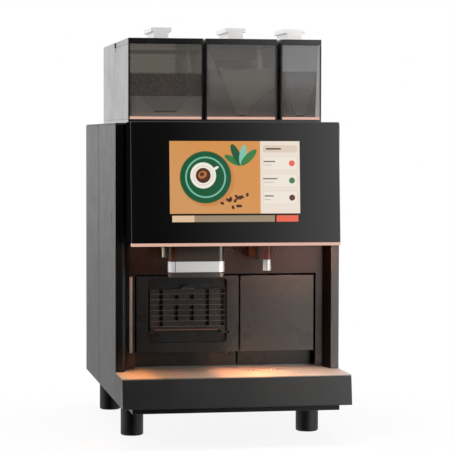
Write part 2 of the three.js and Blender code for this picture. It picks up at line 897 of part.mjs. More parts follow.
function makeDoorShell() {
  const x = [-doorHalf + doorSetback, doorHalf - doorSetback];
  const top = doorTop - doorSetback;
  const behindGlass = doorGlass + fit;
  const behindLight = lightBarSetback + lightBarDepth + fit;
  const outline = [
    [doorFaceAt(doorBottom) + behindLight, doorBottom],
    [doorBack, doorBottom],
    [doorBack, top],
    [doorFaceAt(top) + behindGlass, top],
    [doorFaceAt(glassBottom) + behindGlass, glassBottom],
    [doorFaceAt(glassBottom) + behindLight, glassBottom],
  ];
  const ledge = glassBottom + doorWall;
  const hollowOutline = [
    [doorFaceAt(doorBottom) + behindLight + doorWall, doorBottom - overrun],
    [doorBack + overrun, doorBottom - overrun],
    [doorBack + overrun, top - doorWall],
    [doorFaceAt(top) + behindGlass + doorWeb, top - doorWall],
    [doorFaceAt(ledge) + behindGlass + doorWeb, ledge],
    [doorFaceAt(ledge) + behindLight + doorWall, ledge],
  ];
  const hollow = prism("x", hollowOutline, [x[0] + doorWall, x[1] - doorWall]);
  const displayCut = leaning(
    [displayLeft - fit, displayRight + fit],
    [doorGlass, doorGlass + displayDepth],
    [displayZ[0] - fit, displayZ[1] + fit],
  );
  const shell = prism("x", outline, x).subtract(hollow).subtract(displayCut);
  const lowKnuckle = armHeights[0] + hingeArmThickness + hingeNotchMargin;
  const highKnuckle = armHeights[1] - hingeNotchMargin - knuckleHeight;
  const knuckles = [lowKnuckle, highKnuckle].map((z) =>
    block(
      [x[1] - doorWall - knuckleWidth, x[1] - doorWall / 2],
      [doorBack - knuckleDepth, doorBack],
      [z, z + knuckleHeight],
    ),
  );
  const bore = bar(
    "z",
    hingeRodRadius + runningGap,
    [doorBottom - overrun, doorTop - doorWall - doorSetback - overrun],
    [hingeX, hingeY, 0],
    pinSides,
  );
  const notches = armHeights.map((z) =>
    block(
      [x[1] - doorWall - overrun, x[1] + overrun],
      [doorBack - hingeNotchReach, doorBack + overrun],
      [z - hingeNotchMargin, z + hingeArmThickness + hingeNotchMargin],
    ),
  );
  return shell.add(joined(knuckles)).subtract(bore).subtract(joined(notches));
}

function makeDoor() {
  const across = [-doorHalf, doorHalf];
  const glass = leaning(across, [0, doorGlass], [glassBottom, doorTop]);
  const light = leaning(
    across,
    [lightBarSetback, lightBarSetback + lightBarDepth],
    [doorBottom, doorBottom + lightBarHeight],
  );
  const display = leaning(
    [displayLeft, displayRight],
    [doorGlass + fit, doorGlass + displayDepth],
    displayZ,
  );
  return [
    piece("door_shell", makeDoorShell(), "plastic"),
    piece("door_glass", glass, "glass"),
    piece("door_light_bar", light, "glow"),
    piece("display_module", display, "screen"),
  ];
}

function makeHingeRod() {
  const rod = bar(
    "z",
    hingeRodRadius,
    [armHeights[0], armHeights[1] + hingeArmThickness],
    [hingeX, hingeY, 0],
    pinSides,
  );
  const arms = armHeights.map((z) =>
    block(
      [hingeX - hingeArmWidth / 2, Math.min(hingeX + hingeArmWidth / 2, frameHalf)],
      [hingeY - hingeRodRadius, frameFront - fit],
      [z, z + hingeArmThickness],
    ),
  );
  return piece("door_hinge_rod", joined([rod, ...arms]), "steel");
}

// Coffee outlet: a rounded housing on a rail, narrower at the back, with a bright band round the head
// and the spout block

function outletOutline(inset) {
  const front = outletWidth / 2 - outletRadius;
  const back = outletBackWidth / 2 - outletRadius;
  return outlineRound(
    [
      [outletX - front, outletFront + outletRadius],
      [outletX + front, outletFront + outletRadius],
      [outletX + back, outletBack - outletRadius],
      [outletX - back, outletBack - outletRadius],
    ],
    outletRadius - inset,
  );
}

const railFront = frameFront - fit - railThickness;

function makeOutlet() {
  const column = prism("z", outletOutline(0), [outletBandTop + fit, outletTop]);
  const halfShoe = shoeWidth / 2;
  const shoe = block(
    [outletX - halfShoe, outletX + halfShoe],
    [outletBack - outletRadius, frameFront - slidingGap],
    [shoeBottom, outletTop],
  );
  const railSlot = block(
    [outletX - railWidth / 2 - fit, outletX + railWidth / 2 + fit],
    [railFront - fit, frameFront + overrun],
    [shoeBottom - overrun, outletTop + overrun],
  );
  const band = prism("z", outletOutline(0), [outletBandBottom, outletBandTop]).subtract(
    prism("z", outletOutline(outletBandWall), [outletBandBottom - overrun, outletBandTop + overrun]),
  );
  const spoutFoot = prism("z", outletOutline(0), [outletBottom, outletBandBottom - fit]);
  const spoutCore = prism(
    "z",
    outletOutline(outletBandWall + fit),
    [outletBottom, outletBandTop],
  );
  const bores = [-1, 1].map((side) =>
    bar(
      "z",
      outletSpoutRadius,
      [outletBottom - overrun, outletBottom + outletSpoutDepth],
      [outletX + (side * outletSpoutSpacing) / 2, outletSpoutY, 0],
      pinSides,
    ),
  );
  return [
    piece("outlet_housing", column.add(shoe).subtract(railSlot), "plastic"),
    piece("outlet_trim_band", band, "chrome"),
    piece("outlet_spout_block", spoutFoot.add(spoutCore).subtract(joined(bores)), "plastic"),
  ];
}

function makeOutletRail() {
  const rail = block(
    [outletX - railWidth / 2, outletX + railWidth / 2],
    [railFront, frameFront - fit],
    [railBottom, bodyTop - railTopDrop],
  );
  return piece("outlet_rail", rail, "steel");
}

// Nozzles beside the coffee outlet

function makeNozzles() {
  const wallSide = frameFront - fit;
  const steamCentre = [steamX, steamY, 0];
  const steamBore = [steamBottom - overrun, steamBottom + steamBoreDepth];
  const steamArmZ = steamTop - steamArmRadius - fit;
  const steam = joined([
    bar("z", steamRadius, [steamBottom, steamTop], steamCentre),
    bar("y", steamArmRadius, [steamY, wallSide], [steamX, 0, steamArmZ], pinSides),
  ]).subtract(bar("z", steamBoreRadius, steamBore, steamCentre, pinSides));
  const waterCentre = [waterNozzleX, waterNozzleY, 0];
  const stemTop = waterBracketBottom + waterStemLength;
  const bracket = block(
    [waterX - waterWidth / 2, waterX + waterWidth / 2],
    [waterFront, wallSide],
    [waterBracketBottom, waterBracketTop],
  ).subtract(
    bar("z", waterStemRadius + fit, [waterBracketBottom - overrun, stemTop + fit], waterCentre, pinSides),
  );
  const waterBore = [waterNozzleBottom - overrun, stemTop + overrun];
  const nozzle = joined([
    bar("z", waterNozzleRadius, [waterNozzleBottom, waterBracketBottom - fit], waterCentre),
    bar("z", waterStemRadius, [waterNozzleBottom, stemTop], waterCentre, pinSides),
  ]).subtract(bar("z", waterBoreRadius, waterBore, waterCentre, pinSides));
  return [
    piece("steam_nozzle", steam, "chrome"),
    piece("water_outlet_bracket", bracket, "darkPanel"),
    piece("water_nozzle", nozzle, "chrome"),
  ];
}

// Hoppers: three bins side by side, each with a window, a light strip, a flap lid and a handle

const hopperBottom = bodyTop + hopperPad + fit;
const hopperTop = lidBottom - fit;
const lidTop = lidBottom + lidThickness;
const lidPivotY = hopperFront + lidLength;
const lidPivotZ = lidBottom - lidPivotDepth;
const barrelRadius = lidTop - lidPivotZ;
const funnelTop = bodyTop + funnelRise;
const troughAxis = bodyTop + troughRise;
const hopperSpan = bodyWidth - hopperSideInset * 2;
const hopperWidths = hopperSpan - leftHopperGap - rightHopperGap;
const beanX = [-hopperSpan / 2, -hopperSpan / 2 + hopperWidths * beanHopperShare];
const centreX = [beanX[1] + leftHopperGap, beanX[1] + leftHopperGap + hopperWidths * centreHopperShare];
const rightX = [centreX[1] + rightHopperGap, hopperSpan / 2];
const insideOf = ([low, high]) => [low + hopperWall, high - hopperWall];
const innerTop = hopperTop + overrun;

// Each hopper's hollow, drawn in (x, z): where its walls lean in to the trough or the throat.
function beanHollow() {
  const [low, high] = insideOf(beanX);
  const mid = middle(beanX);
  const trough = troughAxis - troughRadius / 2;
  return [
    [low, innerTop],
    [low, funnelTop],
    [mid - beanThroatRadius, trough],
    [mid + beanThroatRadius, trough],
    [high, funnelTop],
    [high, innerTop],
  ];
}

function centreHollow() {
  const [low, high] = insideOf(centreX);
  const mid = middle(centreX) + centreTroughShift;
  return [
    [low, innerTop],
    [low, hopperTop],
    [mid - troughRadius, troughAxis],
    [mid + troughRadius, troughAxis],
    [high, funnelTop],
    [high, innerTop],
  ];
}

function rightHollow() {
  const [low, high] = insideOf(rightX);
  const mid = middle(rightX);
  return [
    [low, innerTop],
    [low + rightWallSlant, funnelTop],
    [mid - troughRadius, troughAxis],
    [mid + troughRadius, troughAxis],
    [high - rightWallSlant, funnelTop],
    [high, innerTop],
  ];
}

const hoppers = [
  {
    name: "bean",
    x: beanX,
    hollow: beanHollow(),
    troughX: middle(beanX),
    throatRadius: beanThroatRadius,
    throatY: beanThroatY,
    auger: false,
  },
  {
    name: "centre_powder",
    x: centreX,
    hollow: centreHollow(),
    troughX: middle(centreX) + centreTroughShift,
    throatRadius: powderThroatRadius,
    throatY: powderThroatY,
    auger: true,
  },
  {
    name: "right_powder",
    x: rightX,
    hollow: rightHollow(),
    troughX: middle(rightX),
    throatRadius: powderThroatRadius,
    throatY: powderThroatY,
    auger: true,
  },
];

const hopperInsideFront = hopperFront + hopperLightDepth + hopperWall;
const hopperInsideBack = hopperBack - hopperWall;

function makeHopperShell(hopper) {
  const deckFront = lidPivotY + barrelRadius + lidDeckGap;
  const body = block(hopper.x, [hopperFront, hopperBack], [hopperBottom, hopperTop]);
  const deck = block(hopper.x, [deckFront, hopperBack], [hopperTop - hopperWall, lidTop]);
  const windowSeat = block(
    insideOf(hopper.x),
    [hopperFront - overrun, hopperFront + hopperLightDepth + fit],
    [hopperBottom - overrun, innerTop],
  );
  const hollow = prism("y", hopper.hollow, [hopperFront + hopperLightDepth, hopperInsideBack]);
  const barrelWell = bar("x", barrelRadius + lidWellGap, insideOf(hopper.x), [0, lidPivotY, lidPivotZ]);
  const throat = bar(
    "z",
    hopper.throatRadius + throatWall,
    [bodyTop - throatDrop, hopperBottom + hopperFloor],
    [hopper.troughX, hopper.throatY, 0],
  );
  const throatBore = bar(
    "z",
    hopper.throatRadius,
    [bodyTop - throatDrop - overrun, troughAxis],
    [hopper.troughX, hopper.throatY, 0],
  );
  const rodHole = bar(
    "x",
    lidRodRadius + runningGap,
    [hopper.x[0] - overrun, hopper.x[1] + overrun],
    [0, lidPivotY, lidPivotZ],
    pinSides,
  );
  let shell = body.add(deck).subtract(windowSeat).add(throat).subtract(hollow).subtract(barrelWell);
  if (hopper.auger) {
    const ends = [hopperFront + hopperLightDepth, hopperInsideBack];
    shell = shell.subtract(bar("y", troughRadius, ends, [hopper.troughX, 0, troughAxis]));
    const bearing = bar(
      "y",
      augerShaftRadius + runningGap,
      [hopperInsideBack - overrun, hopperBack + overrun],
      [hopper.troughX, 0, troughAxis],
      pinSides,
    );
    shell = shell.subtract(bearing);
  }
  return shell.subtract(throatBore).subtract(rodHole);
}

// A flap that covers the side walls up to its barrel, where it narrows so that it clears them as it
// swings up.
function makeLid(hopper) {
  const inner = [hopper.x[0] + hopperWall + runningGap, hopper.x[1] - hopperWall - runningGap];
  const flap = joined([
    block(hopper.x, [hopperFront, lidPivotY - lidPivotDepth - lidSwingRoom], [lidBottom, lidTop]),
    block(inner, [hopperFront, lidPivotY], [lidBottom, lidTop]),
  ]);
  const barrel = bar("x", barrelRadius, inner, [0, lidPivotY, lidPivotZ], roundSides);
  const hole = bar(
    "x",
    lidRodRadius + runningGap,
    [hopper.x[0] - overrun, hopper.x[1] + overrun],
    [0, lidPivotY, lidPivotZ],
    pinSides,
  );
  return flap.add(barrel).subtract(hole);
}

function makeHandle(hopper) {
  const mid = middle(hopper.x);
  const y = [hopperFront + handleFrontInset, hopperFront + handleFrontInset + handleLength];
  const foot = lidTop + fit;
  const outline = [
    [mid - handleStemWidth / 2, foot],
    [mid + handleStemWidth / 2, foot],
    [mid + handleStemWidth / 2, foot + handleStemHeight],
    [mid + handleWidth / 2, foot + handleStemHeight],
    [mid + handleWidth / 2, foot + handleStemHeight + handlePlate],
    [mid - handleWidth / 2, foot + handleStemHeight + handlePlate],
    [mid - handleWidth / 2, foot + handleStemHeight],
    [mid - handleStemWidth / 2, foot + handleStemHeight],
  ];
  return prism("y", outline, y);
}

// A dosing screw along y: a thick two-edged blade twisted about its axis, with a journal at the back.
function makeAuger(hopper) {
  const [front, back] = [hopperInsideFront, hopperInsideBack - augerEndInset];
  const steps = augerTurns * augerStepsPerTurn;
  const edge = augerFlight / 2;
  const section = [
    [augerRadius, -edge],
    [augerRadius, edge],
    [0, augerShaftRadius],
    [-augerRadius, edge],
    [-augerRadius, -edge],
    [0, -augerShaftRadius],
  ];
  const corners = section.length;
  const positions = [];
  for (let i = 0; i <= steps; i += 1) {
    const turn = (i / augerStepsPerTurn) * Math.PI * 2;
    for (const [u, v] of section) {
      positions.push(
        hopper.troughX + u * Math.cos(turn) - v * Math.sin(turn),
        front + ((back - front) * i) / steps,
        troughAxis + u * Math.sin(turn) + v * Math.cos(turn),
      );
    }
  }
  const index = [];
  const last = steps * corners;
  for (let corner = 1; corner < corners - 1; corner += 1) {
    index.push(0, corner, corner + 1, last, last + corner + 1, last + corner);
  }
  for (let i = 0; i < steps; i += 1) {
    for (let corner = 0; corner < corners; corner += 1) {
      const a = i * corners + corner;
      const b = i * corners + ((corner + 1) % corners);
      index.push(a, a + corners, b, b, a + corners, b + corners);
    }
  }
  const blade = new THREE.BufferGeometry();
  blade.setAttribute("position", new THREE.Float32BufferAttribute(positions, 3));
  blade.setIndex(index);
  const centre = [hopper.troughX, 0, troughAxis];
  const journal = bar("y", augerShaftRadius, [back - augerEndInset, hopperBack - fit], centre, pinSides);
  return solidFrom(blade).add(journal);
}

function makeHoppers() {
  const front = (hopper) => [hopper.x[0] + hopperWall + fit, hopper.x[1] - hopperWall - fit];
  const pieces = hoppers.flatMap((hopper) => {
    const window = block(
      front(hopper),
      [hopperFront, hopperFront + hopperWindow],
      [hopperBottom + hopperLightHeight + fit, hopperTop],
    );
    const light = block(
      front(hopper),
      [hopperFront, hopperFront + hopperLightDepth],
      [hopperBottom, hopperBottom + hopperLightHeight],
    );
    return [
      piece(`${hopper.name}_hopper`, makeHopperShell(hopper), "panel"),
      piece(`${hopper.name}_hopper_window`, window, "smoked"),
      piece(`${hopper.name}_hopper_light`, light, "glow"),
      piece(`${hopper.name}_lid`, makeLid(hopper), "plastic"),
      piece(`${hopper.name}_lid_handle`, makeHandle(hopper), "chrome"),
    ];
  });
  const rodEnd = hopperSpan / 2 - lidRodInset;
  const rod = bar("x", lidRodRadius, [-rodEnd, rodEnd], [0, lidPivotY, lidPivotZ], pinSides);
  const augers = hoppers
    .filter((hopper) => hopper.auger)
    .map((hopper) => piece(`${hopper.name}_auger`, makeAuger(hopper), "steel"));
  return [...pieces, piece("lid_hinge_rod", rod, "steel"), ...augers];
}

// The top panel: a plate with a raised, hollow pad that the hoppers stand on.
function makeTopPanel() {
  const plate = block([-halfBody, halfBody], [0, bodyDepth], [bodyTop - topSheet, bodyTop]);
  const pad = block(
    [-hopperSpan / 2, hopperSpan / 2],
    [hopperFront, hopperBack],
    [bodyTop, bodyTop + hopperPad],
  );
  const holes = hoppers.map((hopper) =>
    bar(
      "z",
      hopper.throatRadius + throatWall + fit,
      [bodyTop - topSheet - overrun, hopperBottom + overrun],
      [hopper.troughX, hopper.throatY, 0],
    ),
  );
  const hollow = block(
    [-hopperSpan / 2 + topSheet, hopperSpan / 2 - topSheet],
    [hopperFront + topSheet, hopperBack - topSheet],
    [bodyTop - topSheet - overrun, bodyTop + hopperPad - topSheet],
  );
  return piece("top_panel", plate.add(pad).subtract(joined([hollow, ...holes])), "panel");
}

// Works: grinder, brew unit, powder mixer, heater and pump

function makeGrinder() {
  const [x, y] = [middle(beanX), beanThroatY];
  const shoulder = grinderBottom + grinderHeight;
  const burrChamberBottom = grinderBottom + burrChamberRise;
  const inlet = beanThroatRadius + throatWall + fit;
  const chamberTop = burrChamberBottom + burrChamberHeight;
  const housing = joined([
    bar("z", grinderRadius, [grinderBottom, shoulder], [x, y, 0]),
    bar("z", grinderNeckRadius, [grinderBottom, panelTop], [x, y, 0]),
  ]).subtract(
    joined([
      bar("z", inlet, [burrChamberBottom, bodyTop], [x, y, 0]),
      bar("z", burrChamberRadius, [burrChamberBottom, chamberTop], [x, y, 0]),
      bar(
        "z",
        burrShaftRadius + runningGap,
        [burrChamberBottom - burrShaftDrop - fit, burrChamberBottom + overrun],
        [x, y, 0],
        pinSides,
      ),
      bar(
        "z",
        grinderChuteRadius,
        [grinderBottom - overrun, burrChamberBottom + overrun],
        [x + burrChamberRadius - grinderChuteRadius, y, 0],
        pinSides,
      ),
    ]),
  );
  const burrBottom = burrChamberBottom + burrClearance;
  const burr = joined([
    bar("z", burrRadius, [burrBottom, burrBottom + burrHeight], [x, y, 0]),
    bar("z", burrShaftRadius, [burrChamberBottom - burrShaftDrop, burrBottom + overrun], [x, y, 0], pinSides),
  ]);
  return [piece("grinder_housing", housing, "plastic"), piece("grinder_burr", burr, "steel")];
}

function makeBrewUnit() {
  const base = innerShelfTop + fit;
  const chamber = bar("z", brewRadius, [base, base + brewHeight], [brewX, brewY, 0]).subtract(
    bar("z", brewBoreRadius, [base + brewFloor, base + brewHeight + overrun], [brewX, brewY, 0]),
  );
  const low = base + brewFloor + pistonRise;
  const rodTop = low + pistonHeight + pistonRodLength;
  const piston = joined([
    bar("z", brewBoreRadius - runningGap, [low, low + pistonHeight], [brewX, brewY, 0]),
    bar("z", pistonRodRadius, [low, rodTop], [brewX, brewY, 0], pinSides),
    block(
      [brewX - pistonHeadWidth / 2, brewX + pistonHeadWidth / 2],
      [brewY - pistonRodRadius, brewY + pistonRodRadius],
      [rodTop - pistonHeadHeight, rodTop],
    ),
  ]);
  return [piece("brew_chamber", chamber, "plastic"), piece("brew_piston", piston, "steel")];
}

function makeHydraulics() {
  const floor = panFloor + fit;
  const heaterY = bodyDepth - heaterRearInset;
  const pumpY = bodyDepth - pumpRearInset;
  const heaterTop = floor + heaterHeight;
  const heater = joined([
    bar("z", heaterRadius, [floor, heaterTop], [heaterX, heaterY, 0]),
    bar("z", heaterRadius - heaterCapHeight, [floor, heaterTop + heaterCapHeight], [heaterX, heaterY, 0]),
    bar(
      "z",
      heaterPipeRadius,
      [floor, heaterTop + heaterCapHeight + heaterPipeHeight],
      [heaterX, heaterY, 0],
      pinSides,
    ),
  ]);
  const axis = floor + pumpBase + pumpRadius;
  const pump = joined([
    block(
      [pumpX - pumpWidth / 2, pumpX + pumpWidth / 2],
      [pumpY - pumpDepth / 2, pumpY + pumpDepth / 2],
      [floor, floor + pumpBase],
    ),
    bar("x", pumpRadius, [pumpX - pumpWidth / 2, pumpX + pumpWidth / 2], [0, pumpY, axis - runningGap]),
    bar("z", pumpPortRadius, [axis, axis + pumpPortHeight], [pumpX, pumpY, 0], pinSides),
  ]);
  return [piece("water_heater", heater, "steel"), piece("water_pump", pump, "copper")];
}

function makeMixer() {
  const [, centreHopper, rightHopper] = hoppers;
  const mixerTop = bodyTop - mixerTopDrop;
  const mixerFunnelBottom = mixerTop - mixerFunnelHeight;
  const mixerAxisZ = mixerFunnelBottom - mixerAxisDrop;
  const reach = powderThroatRadius + throatWall + mixerMouthMargin;
  const mouth = [centreHopper.troughX - reach, rightHopper.troughX + reach];
  const axisX = middle(mouth);
  const y = [chassisFront, chassisFront + mixerDepth];
  const funnel = (inset, top) => [
    [mouth[0] + inset, top],
    [axisX - mixerChamberRadius / 2 + inset, mixerFunnelBottom - mixerChamberRadius / 2],
    [axisX + mixerChamberRadius / 2 - inset, mixerFunnelBottom - mixerChamberRadius / 2],
    [mouth[1] - inset, top],
  ];
  const inside = [y[0] + mixerWall, y[1] - mixerWall];
  const bowl = joined([
    prism("y", funnel(0, mixerTop), y),
    bar("y", mixerChamberRadius, y, [axisX, 0, mixerAxisZ]),
    bar(
      "z",
      mixerSpoutRadius,
      [mixerAxisZ - mixerChamberRadius - mixerSpoutDrop, mixerAxisZ],
      [axisX, middle(y), 0],
      pinSides,
    ),
  ]).subtract(
    joined([
      prism("y", funnel(mixerWall, mixerTop + overrun), inside),
      bar("y", mixerChamberRadius - mixerWall, inside, [axisX, 0, mixerAxisZ]),
      bar(
        "z",
        mixerSpoutRadius - mixerWall,
        [mixerAxisZ - mixerChamberRadius - mixerSpoutDrop - overrun, mixerAxisZ],
        [axisX, middle(y), 0],
        pinSides,
      ),
      bar(
        "y",
        whiskShaftRadius + runningGap,
        [inside[1] - overrun, y[1] + overrun],
        [axisX, 0, mixerAxisZ],
        pinSides,
      ),
    ]),
  );
  const disc = [middle(y) - whiskThickness / 2, middle(y) + whiskThickness / 2];
  const blades = Array.from({ length: whiskBlades }, (_, i) => {
    const turn = (i / whiskBlades) * Math.PI * 2;
    return bar(
      "y",
      whiskBladeWidth / 2,
      [disc[0] - whiskThickness, disc[1] + whiskThickness],
      [
        axisX + (whiskRadius - whiskBladeWidth / 2) * Math.cos(turn),
        0,
        mixerAxisZ + (whiskRadius - whiskBladeWidth / 2) * Math.sin(turn),
      ],
      pinSides / 2,
    );
  });
  const whisk = joined([
    bar("y", whiskRadius, disc, [axisX, 0, mixerAxisZ]),
    bar("y", whiskShaftRadius, [disc[0], y[1] + whiskShaftReach], [axisX, 0, mixerAxisZ], pinSides),
    ...blades,
  ]);
  return [piece("mixer_bowl", bowl, "plastic"), piece("mixer_whisk", whisk, "steel")];
}

// The whole machine, centred on its bounding box in X and Y

const machine = new THREE.Group();
machine.add(
  ...makeBase(),
  makeChassis(),
  ...makeSidePanels(),
  makeRearPanel(),
  makePowerSwitch(),
  makeTopPanel(),
  makeRecessFrame(),
  makeDoorRelease(),
  ...makeDripTray(),
  ...makeDrawers(),
  makeCupShelf(),
  ...makeDoor(),
  makeHingeRod(),
  ...makeOutlet(),
  makeOutletRail(),
  ...makeNozzles(),
  ...makeHoppers(),
  ...makeGrinder(),
  ...makeBrewUnit(),
  ...makeHydraulics(),
  ...makeMixer(),
);
machine.position.y = (trayReach - bodyDepth) / 2;

export default machine;
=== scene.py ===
import math
import random

import bmesh
import bpy
from mathutils import Matrix, Vector


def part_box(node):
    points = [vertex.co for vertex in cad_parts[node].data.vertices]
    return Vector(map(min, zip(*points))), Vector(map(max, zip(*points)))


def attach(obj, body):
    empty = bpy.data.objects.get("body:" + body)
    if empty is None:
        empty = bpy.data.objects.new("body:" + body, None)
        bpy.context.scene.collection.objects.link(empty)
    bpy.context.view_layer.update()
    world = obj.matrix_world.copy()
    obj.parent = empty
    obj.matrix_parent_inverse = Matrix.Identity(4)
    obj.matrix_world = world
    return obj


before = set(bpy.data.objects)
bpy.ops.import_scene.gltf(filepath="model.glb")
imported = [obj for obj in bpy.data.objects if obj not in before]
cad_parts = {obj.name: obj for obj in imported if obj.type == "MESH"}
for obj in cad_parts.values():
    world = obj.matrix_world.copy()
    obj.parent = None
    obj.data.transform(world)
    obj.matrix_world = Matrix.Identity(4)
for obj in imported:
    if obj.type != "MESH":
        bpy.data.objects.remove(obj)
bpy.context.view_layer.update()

# Camera: a long lens a little over three metres away, to the left of the machine and looking slightly
# down on it, fitted to the straight edges of the body.
camera_place = Vector((-0.5772, -3.4282, 0.5117))
camera_yaw = math.radians(10.023)
camera_pitch = math.radians(-2.582)
camera_roll = math.radians(0.128)
ahead = Vector((
    math.sin(camera_yaw) * math.cos(camera_pitch),
    math.cos(camera_yaw) * math.cos(camera_pitch),
    math.sin(camera_pitch),
))
level_right = Vector((math.cos(camera_yaw), -math.sin(camera_yaw), 0))
level_up = level_right.cross(ahead)
right = level_right * math.cos(camera_roll) + level_up * math.sin(camera_roll)
up = level_up * math.cos(camera_roll) - level_right * math.sin(camera_roll)
camera = bpy.data.objects.new("camera", bpy.data.cameras.new("camera"))
camera.data.lens = 155.0
camera.data.sensor_width = 36.0
camera.data.clip_end = 50.0
camera.matrix_world = Matrix((right, up, -ahead)).transposed().to_4x4()
camera.matrix_world.translation = camera_place
bpy.context.collection.objects.link(camera)
bpy.context.scene.camera = camera
bpy.context.scene.view_settings.view_transform = "Standard"

# Studio: a white sweep behind and beside the machine that falls dark in front of it, a pale floor that
# keeps the shadow, two soft lamps, and two cards that only gloss sees: a graded one at the front right for
# the black glass, and one behind the left side for its paint.
dark_from = -0.75
bright_from = 0.15
dark_level = 0.02
bright_level = 0.9


def tone(red, green, blue):
    """A colour written in screen values from 0 to 255."""
    shares = [value / 255 for value in (red, green, blue)]
    return (*[s / 12.92 if s < 0.04 else ((s + 0.055) / 1.055) ** 2.4 for s in shares], 1.0)


def grey(level):
    return tone(level, level, level)


def grow(tree, kind, *inputs, out=0, **settings):
    """Adds a node, wires or fills its live inputs in order, and gives back one of its live outputs."""
    node = tree.nodes.new(kind)
    for setting, value in settings.items():
        setattr(node, setting, value)
    live = [socket for socket in node.inputs if socket.enabled]
    for socket, value in zip(live, inputs):
        if isinstance(value, bpy.types.NodeSocket):
            tree.links.new(value, socket)
        elif value is not None:
            socket.default_value = value
    return [socket for socket in node.outputs if socket.enabled][out]


def reckon(tree, kind, *values):
    return grow(tree, "ShaderNodeMath", *values, operation=kind)


def times(tree, first, second):
    return reckon(tree, "MULTIPLY", first, second)


def ramp(tree, value, start, end, low=0.0, high=1.0):
    """Takes a value from start to end and eases it from low to high."""
    return grow(tree, "ShaderNodeMapRange", value, start, end, low, high, interpolation_type="SMOOTHSTEP")


def place_axes(tree):
    """The three Object coordinates of a surface point, in metres."""
    place = grow(tree, "ShaderNodeTexCoord", out=3)
    return [grow(tree, "ShaderNodeSeparateXYZ", place, out=axis) for axis in range(3)]


world = bpy.data.worlds.new("studio")
bpy.context.scene.world = world
world.use_nodes = True
tree = world.node_tree
heading = grow(tree, "ShaderNodeTexCoord", out=0)
depth = grow(tree, "ShaderNodeSeparateXYZ", heading, out=1)
seen_straight = grow(tree, "ShaderNodeLightPath", out=0)
surround = ramp(tree, depth, dark_from, bright_from, dark_level, bright_level)
strength = reckon(tree, "MAXIMUM", surround, seen_straight)
tree.links.new(strength, tree.nodes["Background"].inputs["Strength"])
tree.nodes["Background"].inputs["Color"].default_value = (1, 1, 1, 1)


def sheet_of_stage(name, corners, finish):
    """A flat four-cornered surface that belongs to the studio."""
    mesh = bpy.data.meshes.new(name)
    mesh.from_pydata(corners, [], [tuple(range(len(corners)))])
    mesh.materials.append(finish)
    surface = bpy.data.objects.new(name, mesh)
    bpy.context.collection.objects.link(surface)
    return surface


floor_reach = 9.0
shadow_reach = 0.25
white_reach = 0.6
least_white = 0.9
floor_finish = bpy.data.materials.new("pale_floor")
floor_finish.use_nodes = True
tree = floor_finish.node_tree
shader = tree.nodes["Principled BSDF"]
shader.inputs["Base Color"].default_value = grey(246)
shader.inputs["Roughness"].default_value = 0.9
shader.inputs["Specular IOR Level"].default_value = 0.0
away = grow(tree, "ShaderNodeVectorMath", grow(tree, "ShaderNodeTexCoord", out=3), operation="LENGTH")
fade = ramp(tree, away, shadow_reach, white_reach, least_white, 1.0)
seen_straight = grow(tree, "ShaderNodeLightPath", out=0)
glow = grow(tree, "ShaderNodeEmission", (1, 1, 1, 1), seen_straight)
mixed = grow(tree, "ShaderNodeMixShader", fade, shader.outputs[0], glow)
tree.links.new(mixed, tree.nodes["Material Output"].inputs["Surface"])
floor = sheet_of_stage("floor", [
    (-floor_reach, -floor_reach, 0),
    (floor_reach, -floor_reach, 0),
    (floor_reach, floor_reach, 0),
    (-floor_reach, floor_reach, 0),
], floor_finish)
floor.visible_glossy = False


def glowing_card(name, corners, colour, level_over):
    """A card that glows at a level that changes over it, and that only gloss sees."""
    finish = bpy.data.materials.new(name)
    finish.use_nodes = True
    tree = finish.node_tree
    tree.nodes.remove(tree.nodes["Principled BSDF"])
    glow = grow(tree, "ShaderNodeEmission", colour, level_over(tree))
    tree.links.new(glow, tree.nodes["Material Output"].inputs["Surface"])
    card = sheet_of_stage(name, corners, finish)
    card.visible_camera = False
    card.visible_diffuse = False
    card.visible_shadow = False


card_left = -0.05
card_right = 1.30
card_front = -1.15
card_turn = 0.35
card_foot = 0.01
card_top = 1.4
card_full = 0.75
card_level = 6.2
side_left = -1.4
side_right = -0.2
side_back = 0.9
side_foot = -0.5
side_top = 0.9
foot_height = 0.05
foot_level = 0.68
body_top = 0.62
top_level = 1.05


def graded_level(tree):
    """Rises as the square of the way across the card."""
    across, _, _ = place_axes(tree)
    rise = grow(tree, "ShaderNodeMapRange", across, card_left, card_full, 0.0, 1.0)
    return times(tree, times(tree, rise, rise), card_level)


def side_level(tree):
    """Rises from the foot of the machine's side to its top."""
    _, _, height = place_axes(tree)
    return ramp(tree, height, foot_height, body_top, foot_level, top_level)


glowing_card("graded_card", [
    (card_left, card_front, card_foot),
    (card_left, card_front, card_top),
    (card_right, card_front + card_turn, card_top),
    (card_right, card_front + card_turn, card_foot),
], (1.0, 0.99, 0.97, 1), graded_level)
glowing_card("side_card", [
    (side_left, side_back, side_foot),
    (side_right, side_back, side_foot),
    (side_right, side_back, side_top),
    (side_left, side_back, side_top),
], (1, 1, 1, 1), side_level)


def soft_lamp(name, place, aim, width, height, power, colour=(1, 1, 1), glossy=True, spread=180):
    """A rectangular lamp at a place, turned towards a point."""
    lamp = bpy.data.objects.new(name, bpy.data.lights.new(name, "AREA"))
    lamp.data.shape = "RECTANGLE"
    lamp.data.size = width
    lamp.data.size_y = height
    lamp.data.energy = power
    lamp.data.color = colour
    lamp.data.spread = math.radians(spread)
    lamp.location = place
    lamp.rotation_euler = (Vector(aim) - Vector(place)).to_track_quat("-Z", "Y").to_euler()
    lamp.visible_camera = False
    lamp.visible_glossy = glossy
    bpy.context.collection.objects.link(lamp)


soft_lamp("overhead_softbox", place=(0.1, -0.3, 2.3), aim=(0, 0, 0.4), width=2.2, height=1.6, power=26)
soft_lamp(
    "front_left_softbox", place=(-1.7, -2.0, 1.5), aim=(0, -0.1, 0.35), width=1.2, height=1.4, power=22,
    glossy=False,
)

